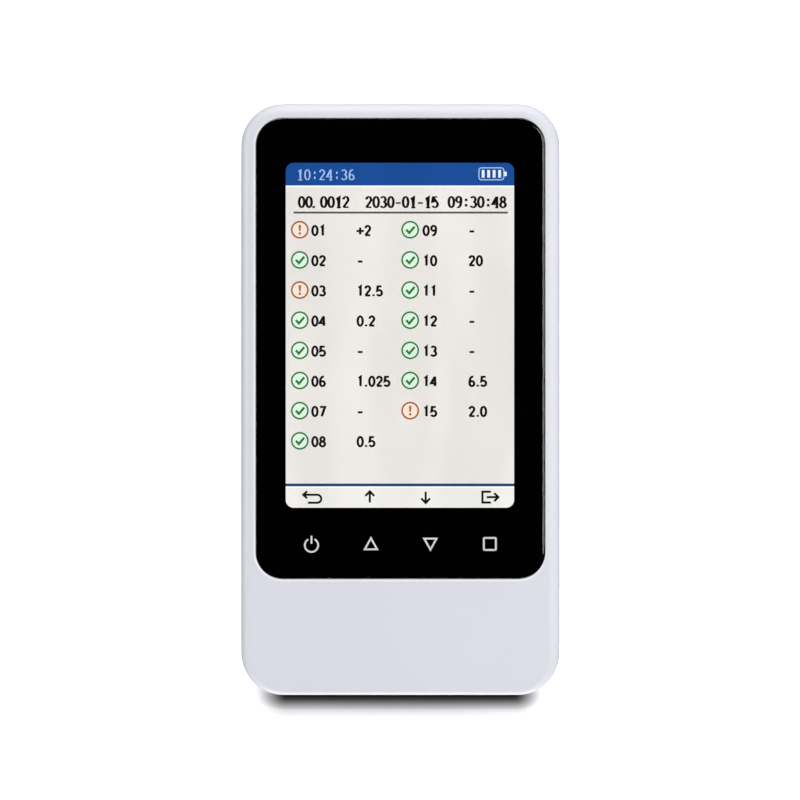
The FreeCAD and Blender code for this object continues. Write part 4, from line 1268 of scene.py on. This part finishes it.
@dataclass(frozen=True)
class BatteryMark:
    """Battery sign in the head bar: an outline, its bars of charge and its pole."""

    width: float = 5.3
    height: float = 2.55
    radius: float = 0.55
    pen: Pen = Pen(0.24, 0.24)
    bars: int = 4
    first_bar: float = -1.75
    bar_pitch: float = 1.17
    bar_half: Point = (0.3, 0.82)
    pole: Triple = (0.55, 1.0, 0.2)
    pole_place: float = 3.0

    def draw(self, outline: Sheet, charge: Sheet, x: float, y: float) -> None:
        """Draws the sign.

        Args:
            outline: Sheet of the outline.
            charge: Sheet of the bars and the pole.
            x: Middle of the outline.
            y: Middle height.
        """
        case_line = rounded_outline(self.width, self.height, self.radius, steps=5)
        self.pen.stroke(outline, moved(case_line, x, y), closed=True)
        half_width, half_height = self.bar_half
        for i in range(self.bars):
            middle = x + self.first_bar + i * self.bar_pitch
            charge.block(middle - half_width, y - half_height, middle + half_width, y + half_height)
        charge.fill(moved(rounded_outline(*self.pole, steps=4), x + self.pole_place, y))


@dataclass(frozen=True)
class StateMark:
    """Round state sign: a ring on pale ground, with a tick or a warning mark in it."""

    radius: float = 1.72
    ring_pen: Pen = Pen(0.36, 0.36)
    tick_pen: Pen = Pen(0.5, 0.5)
    tick: tuple[Point, ...] = ((-0.85, 0.02), (-0.2, -0.68), (0.95, 0.68))
    wedge: tuple[Point, ...] = ((-0.16, -0.28), (0.16, -0.28), (0.28, 1.0), (-0.28, 1.0))
    dot_drop: float = 0.78
    dot_radii: Point = (0.29, 0.27)

    def draw(self, ring: Sheet, ground: Sheet, x: float, y: float, mark: Mark) -> None:
        """Draws the sign.

        Args:
            ring: Sheet of the ring and what is in it.
            ground: Sheet of the pale ground.
            x: Middle.
            y: Middle height.
            mark: State to show.
        """
        circle = ellipse((x, y), (self.radius, self.radius), steps=45)
        ground.fill(circle)
        self.ring_pen.stroke(ring, circle, closed=True)
        if mark is Mark.GOOD:
            self.tick_pen.stroke(ring, moved(self.tick, x, y))
        else:
            ring.fill(moved(self.wedge, x, y))
            ring.fill(ellipse((x, y - self.dot_drop), self.dot_radii, steps=12))


# Pictograms of the key strip, each a list of strokes round its middle.
BACK_SIGN = (
    ((-1.7, 0.5), (1.1, 0.5), *arc((1.2, -0.35), (0.85, 0.85), 90, -90, 10), (-0.8, -1.2)),
    ((-0.95, 1.25), (-1.8, 0.5), (-0.95, -0.25)),
)
UP_SIGN = (((0, -1.15), (0, 1.15)), ((-0.95, 0.25), (0, 1.25), (0.95, 0.25)))
DOWN_SIGN = (((0, -1.15), (0, 1.15)), ((-0.95, -0.25), (0, -1.25), (0.95, -0.25)))
HAND_OVER_SIGN = (
    ((0.4, 1.15), (-1.4, 1.15), (-1.4, -1.15), (0.4, -1.15)),
    ((-0.5, 0), (1.9, 0)),
    ((1.1, 0.85), (2.0, 0), (1.1, -0.85)),
)
KEY_SIGNS = ((5.5, BACK_SIGN), (17.9, UP_SIGN), (29.8, DOWN_SIGN), (43.3, HAND_OVER_SIGN))


@dataclass
class DisplayPicture:
    """What the display shows: head bar, number line, two columns of results and key strip.

    Places run in millimetres from the window's upper left corner, right and down.
    """

    glass: CoverGlass
    # Height from sheet to sheet, and how far the grounds run on under the border.
    layer_step: float = 0.02
    bleed: float = 0.3
    # Grounds and the lines between them.
    head_height: float = 4.79
    white_line: float = 0.4
    navy_top: float = 68.3
    navy_bottom: float = 68.9
    strip_top: float = 69.25
    # Head bar.
    clock: Numerals = Numerals(Pen(0.32, 0.2), 2.35, 1.57, True)
    clock_place: Point = (2.3, 2.5)
    battery: BatteryMark = BatteryMark()
    battery_place: Point = (43.8, 2.3)
    # Number line and its rule.
    heading: Numerals = Numerals(Pen(0.56, 0.34), 2.5, 1.57, True)
    heading_down: float = 8.32
    headings: tuple[tuple[str, float], ...] = (
        ("00.0012", 2.6),
        ("2030-01-15", 16.9),
        ("09:30:48", 34.5),
    )
    rule: Point = (10.35, 10.77)
    rule_margins: Point = (1.64, 1.3)
    # Results.
    figures: Numerals = Numerals(Pen(0.52, 0.46), 2.2, 1.6, stretch=1.1, narrow=0.55)
    figure_drop: float = 0.18
    first_line: float = 14.22
    line_pitch: float = 6.425
    state: StateMark = StateMark()
    # Key strip.
    sign_pen: Pen = Pen(0.46, 0.46)
    signs_down: float = 71.2
    # Made while it is drawn, and the window's place in the frame.
    sheets: list[Sheet] = field(default_factory=list, init=False)
    left: float = field(init=False)
    high: float = field(init=False)
    width: float = field(init=False)
    length: float = field(init=False)
    face: float = field(init=False)

    def __post_init__(self) -> None:
        """Finds the window and the panel's face."""
        self.left, low, right, self.high = self.glass.window()
        self.width, self.length = right - self.left, self.high - low
        self.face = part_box("lcd_panel")[1].z / MM

    def at(self, across: float, down: float) -> Point:
        """Window place to frame place."""
        return self.left + across, self.high - down

    def sheet(self, name: str, colour: str, layer: int) -> Sheet:
        """Starts a sheet of lit colour.

        Args:
            name: What it shows.
            colour: Its sRGB hex colour.
            layer: Its level above the panel's face, which keeps overlapping sheets apart.

        Returns:
            The empty sheet.
        """
        finish = LitPixels(f"lit_pixels_{name}", colour)
        made = Sheet(f"picture_{name}", finish, self.face + self.layer_step * layer)
        self.sheets.append(made)
        return made

    def band(
        self, sheet: Sheet, top: float, bottom: float, margins: Point | None = None
    ) -> None:
        """Adds a level band across the window.

        Args:
            sheet: Where to draw.
            top: Upper edge.
            bottom: Lower edge.
            margins: Gaps at the left and right. Without them, the band runs on under the print.
        """
        left, right = margins or (-self.bleed, -self.bleed)
        sheet.block(*self.at(left, bottom), *self.at(self.width - right, top))

    def grounds(self) -> None:
        """Draws page, head bar, key strip and the lines between them."""
        end = self.length + self.bleed
        self.band(self.sheet("page", "#EBE7E4", 1), -self.bleed, end)
        self.band(self.sheet("head", "#1C4C95", 2), -self.bleed, self.head_height)
        white = self.sheet("white", "#FDFDFD", 3)
        self.band(white, self.head_height, self.head_height + self.white_line)
        self.band(white, self.navy_bottom, self.strip_top)
        self.band(self.sheet("strip", "#EFEDEB", 2), self.strip_top, end)
        self.band(self.sheet("navy", "#2C4275", 4), self.navy_top, self.navy_bottom)

    def head_line(self) -> None:
        """Draws time and battery in the head bar, then the number line and its rule."""
        clock_ink = self.sheet("clock", "#A3BFF0", 4)
        pale = self.sheet("pale", "#E6F0FA", 4)
        self.clock.write(clock_ink, "10:24:36", *self.at(*self.clock_place))
        self.battery.draw(clock_ink, pale, *self.at(*self.battery_place))
        dark = self.sheet("dark", "#16130F", 4)
        for text, across in self.headings:
            self.heading.write(dark, text, *self.at(across, self.heading_down))
        self.band(self.sheet("rule", "#5A5552", 4), *self.rule, self.rule_margins)

    def results(self) -> None:
        """Draws the two columns of results with their state marks."""
        ink = self.sheet("ink", "#171310", 4)
        orange = self.sheet("orange", "#B0602F", 5)
        pale_orange = self.sheet("pale_orange", "#F8E9DB", 4)
        green = self.sheet("green", "#357A45", 5)
        pale_green = self.sheet("pale_green", "#E0F7E0", 4)
        inks = {Mark.GOOD: (green, pale_green), Mark.WATCH: (orange, pale_orange)}
        for column in COLUMNS:
            for row, result in enumerate(column.results):
                number = column.first + row
                mark = Mark.WATCH if number in column.watched else Mark.GOOD
                down = self.first_line + row * self.line_pitch
                self.state.draw(*inks[mark], *self.at(column.marks, down), mark)
                down += self.figure_drop
                self.figures.write(ink, f"{number:02d}", *self.at(column.numbers, down))
                self.figures.write(ink, result, *self.at(column.values, down))

    def key_strip(self) -> None:
        """Draws the pictograms over the four keys: back, up, down and hand over."""
        ink = self.sheet("key_ink", "#171310", 5)
        for across, strokes in KEY_SIGNS:
            for stroke in strokes:
                place = self.at(across, self.signs_down)
                self.sign_pen.stroke(ink, moved(stroke, *place))

    def build(self) -> list[bpy.types.Object]:
        """Draws the whole picture.

        Returns:
            Its plates, one for each colour.
        """
        self.grounds()
        self.head_line()
        self.results()
        self.key_strip()
        return [sheet.finished() for sheet in self.sheets]


# ---------------------------------------------------------------- rear label, charging socket


@dataclass
class RearLabel:
    """The bare rating label in the recess of the rear shell, with a printed frame line."""

    width: float = 39.4
    length: float = 25.4
    radius: float = 1.7
    low: float = 0.8
    thickness: float = 0.19
    frame_inset: float = 1.6
    frame_pen: Pen = Pen(0.3, 0.3)
    ink_thickness: float = 0.012

    def build(self) -> list[bpy.types.Object]:
        """Makes the film and its frame line.

        Returns:
            The two pieces.
        """
        film = Sheet("rear_label", LABEL_FILM, self.low, self.thickness, "white_shell")
        film.fill(rounded_outline(self.width, self.length, self.radius, steps=6))
        level = self.low - self.ink_thickness
        name = "rear_label_frame"
        rim = Sheet(name, LABEL_INK, level, self.ink_thickness, "white_shell")
        inset = 2 * self.frame_inset
        path = rounded_outline(self.width - inset, self.length - inset, self.radius, steps=6)
        self.frame_pen.stroke(rim, path, closed=True)
        return [film.finished(), rim.finished()]


@dataclass
class SocketTongue:
    """The resin tongue over the charging socket's core, with gold pads on both faces."""

    width: float = 4.7
    end: float = 61.6
    depth: float = 4.4
    middle: float = 21.425
    half: float = 0.5
    corner: float = 0.4
    chamfer: float = 0.12
    smooth_angle: float = 40
    pads: int = 8
    pad_pitch: float = 0.52
    pad_width: float = 0.28
    pad_length: float = 2.6
    pad_back: float = 0.3
    pad_thickness: float = 0.02

    def build(self) -> list[bpy.types.Object]:
        """Makes the tongue and its pads.

        Returns:
            The tongue, then the pads above and below it.
        """
        middle_y = self.end - self.depth / 2
        flank = self.half - self.chamfer
        rows = []
        for inset, height in (
            (self.chamfer, -self.half),
            (0, -flank),
            (0, flank),
            (self.chamfer, self.half),
        ):
            width, depth = self.width - 2 * inset, self.depth - 2 * inset
            shape = rounded_outline(width, depth, self.corner - inset, steps=5)
            rows.append((moved(shape, 0, middle_y), self.middle + height))
        name, solid = "socket_tongue", loft(rows)
        pieces = [settle(solid, name, SOCKET_RESIN, self.smooth_angle)]
        high = self.end - self.pad_back
        lower = self.middle - self.half - self.pad_thickness
        for name, level in (("upper", self.middle + self.half), ("lower", lower)):
            sheet = Sheet(
                f"socket_pads_{name}", GOLD_PAD, level, self.pad_thickness, "pinion_brass"
            )
            for place in range(self.pads):
                x = (place - (self.pads - 1) / 2) * self.pad_pitch
                left, right = x - self.pad_width / 2, x + self.pad_width / 2
                sheet.block(left, high - self.pad_length, right, high)
            pieces.append(sheet.finished())
        return pieces


# ---------------------------------------------------------------- carried-over nodes


@dataclass
class DressedNodes:
    """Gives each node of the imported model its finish."""

    finishes: dict[str, Finish] = field(default_factory=lambda: NODE_FINISHES)

    def build(self) -> list[bpy.types.Object]:
        """Dresses every node.

        Returns:
            The nodes' objects.
        """
        nodes = [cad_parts[name] for name in self.finishes]
        for node, finish in zip(nodes, self.finishes.values()):
            node.material_slots[0].material = finish.material()
        return nodes


# ---------------------------------------------------------------- studio


@dataclass(frozen=True)
class Softbox:
    """A rectangular white lamp that points at the analyzer, in metres and watts."""

    name: str
    place: Triple
    size: Point
    power: float
    aim_height: float = 0.02

    def build(self) -> bpy.types.Object:
        """Hangs the lamp, with its width level.

        Returns:
            The lamp's object.
        """
        light = bpy.data.lights.new(self.name, "AREA")
        light.shape = "RECTANGLE"
        light.size, light.size_y = self.size
        light.energy = self.power
        lamp = bpy.data.objects.new(self.name, light)
        back = (Vector(self.place) - Vector((0, 0, self.aim_height))).normalized()
        across = Vector((0, 1, 0)).cross(back).normalized()
        turn = Matrix((across, back.cross(across), back)).transposed()
        lamp.matrix_world = Matrix.LocRotScale(Vector(self.place), turn, None)
        bpy.context.scene.collection.objects.link(lamp)
        return lamp


@dataclass
class Studio:
    """Paper floor, softboxes, dim room and a camera straight above, all in metres."""

    camera_height: float = 0.8
    camera_place: Point = (-0.0001, -0.0002)
    camera_near: float = 0.01
    view_width: float = 0.1702
    sensor_mm: float = 36.0
    floor_size: float = 6.0
    # Height of a direction, from 0 level to 1 overhead, and the room's light from there.
    wall_glow: tuple[tuple[float, Colour], ...] = (
        (0.0, (1.02, 1.02, 1.04, 1.0)),
        (0.6, (1.02, 1.02, 1.04, 1.0)),
        (0.85, (0.0, 0.0, 0.0, 1.0)),
    )
    # Way of a direction, from 0 at the lower end to 1 at the upper end, and the share of light.
    side_glow: tuple[tuple[float, Colour], ...] = ((0.45, grey(0.3)), (0.62, grey(1.0)))
    lamps: tuple[Softbox, ...] = (
        Softbox("right_softbox", (0.47, 0.12, 1.0), (0.6, 0.45), 3.25),
        Softbox("back_softbox", (0.0, 0.8, 0.7), (0.8, 0.3), 2.1),
        Softbox("front_softbox", (0.0, -0.75, 0.6), (0.8, 0.4), 2.9),
        Softbox("left_softbox", (-0.9, 0.1, 0.7), (0.4, 0.5), 0.9),
        Softbox("right_wall", (0.95, 0.1, 0.34), (0.5, 0.4), 1.6),
        Softbox("left_wall", (-0.95, 0.1, 0.34), (0.5, 0.4), 0.8),
        Softbox("back_wall", (0.0, 1.0, 0.16), (1.0, 0.16), 2.1),
        Softbox("front_edge", (0.0, -1.0, 0.04), (1.0, 0.04), 7.5),
    )

    def camera(self) -> bpy.types.Object:
        """Hangs the camera square above the glass, with the display's upper end up.

        Returns:
            The camera's object.
        """
        data = bpy.data.cameras.new("overhead")
        data.sensor_width = self.sensor_mm
        data.lens = self.sensor_mm * self.camera_height / self.view_width
        data.clip_start = self.camera_near
        piece = bpy.data.objects.new("overhead", data)
        piece.location = (*self.camera_place, CAD_BOX[1].z + self.camera_height)
        bpy.context.scene.collection.objects.link(piece)
        bpy.context.scene.camera = piece
        return piece

    def floor(self) -> bpy.types.Object:
        """Lays a wide sheet of paper under the analyzer.

        Returns:
            The floor.
        """
        half = self.floor_size / 2
        mesh = bmesh.new()
        ends = ((-half, -half), (half, -half), (half, half), (-half, half))
        mesh.faces.new([mesh.verts.new((x, y, 0)) for x, y in ends])
        piece = stand(mesh, "floor", PAPER)
        return piece

    def room(self) -> None:
        """Puts up a dim grey room, dark overhead for the glass, and white for the camera."""
        world = bpy.data.worlds.new("room")
        bpy.context.scene.world = world
        world.use_nodes = True
        tree = world.node_tree
        tree.nodes.clear()
        way = add(tree, "TexCoord").outputs["Generated"]
        parts = add(tree, "SeparateXYZ", {"Vector": way}).outputs
        up = {"Fac": parts["Z"]}
        walls = add(tree, "ValToRGB", up, self.wall_glow, interpolation="LINEAR")
        turned = add(tree, "MapRange", {"Value": parts["Y"], "From Min": -1.0})
        back = {"Fac": turned.outputs["Result"]}
        sides = add(tree, "ValToRGB", back, self.side_glow, interpolation="LINEAR")
        glows = {SHARE: 1.0, FIRST: walls.outputs["Color"], SECOND: sides.outputs["Color"]}
        dim = add(tree, "Mix", glows, data_type="RGBA", blend_type="MULTIPLY").outputs[MIXED]
        seen = add(tree, "LightPath").outputs["Is Camera Ray"]
        views = {SHARE: seen, FIRST: dim, SECOND: grey(1.0)}
        colour = add(tree, "Mix", views, data_type="RGBA").outputs[MIXED]
        light = add(tree, "Background", {"Color": colour, "Strength": 1.0}).outputs["Background"]
        add(tree, "OutputWorld", {"Surface": light})

    def build(self) -> list[bpy.types.Object]:
        """Sets up room, camera, floor and lamps.

        Returns:
            Camera, floor and lamps.
        """
        bpy.context.scene.view_settings.view_transform = "Standard"
        self.room()
        return [self.camera(), self.floor(), *(lamp.build() for lamp in self.lamps)]


def main() -> None:
    """Builds each class in order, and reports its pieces."""
    logging.basicConfig(level=logging.INFO, format="%(name)s: %(message)s")
    glass = CoverGlass()
    parts = (Studio(), DressedNodes(), glass, DisplayPicture(glass), RearLabel(), SocketTongue())
    for part in parts:
        for piece in part.build():
            finishes = ", ".join(slot.name for slot in piece.material_slots)
            log.info("%s: %s %s", type(part).__name__, piece.name, finishes)


if __name__ == "__main__":
    main()
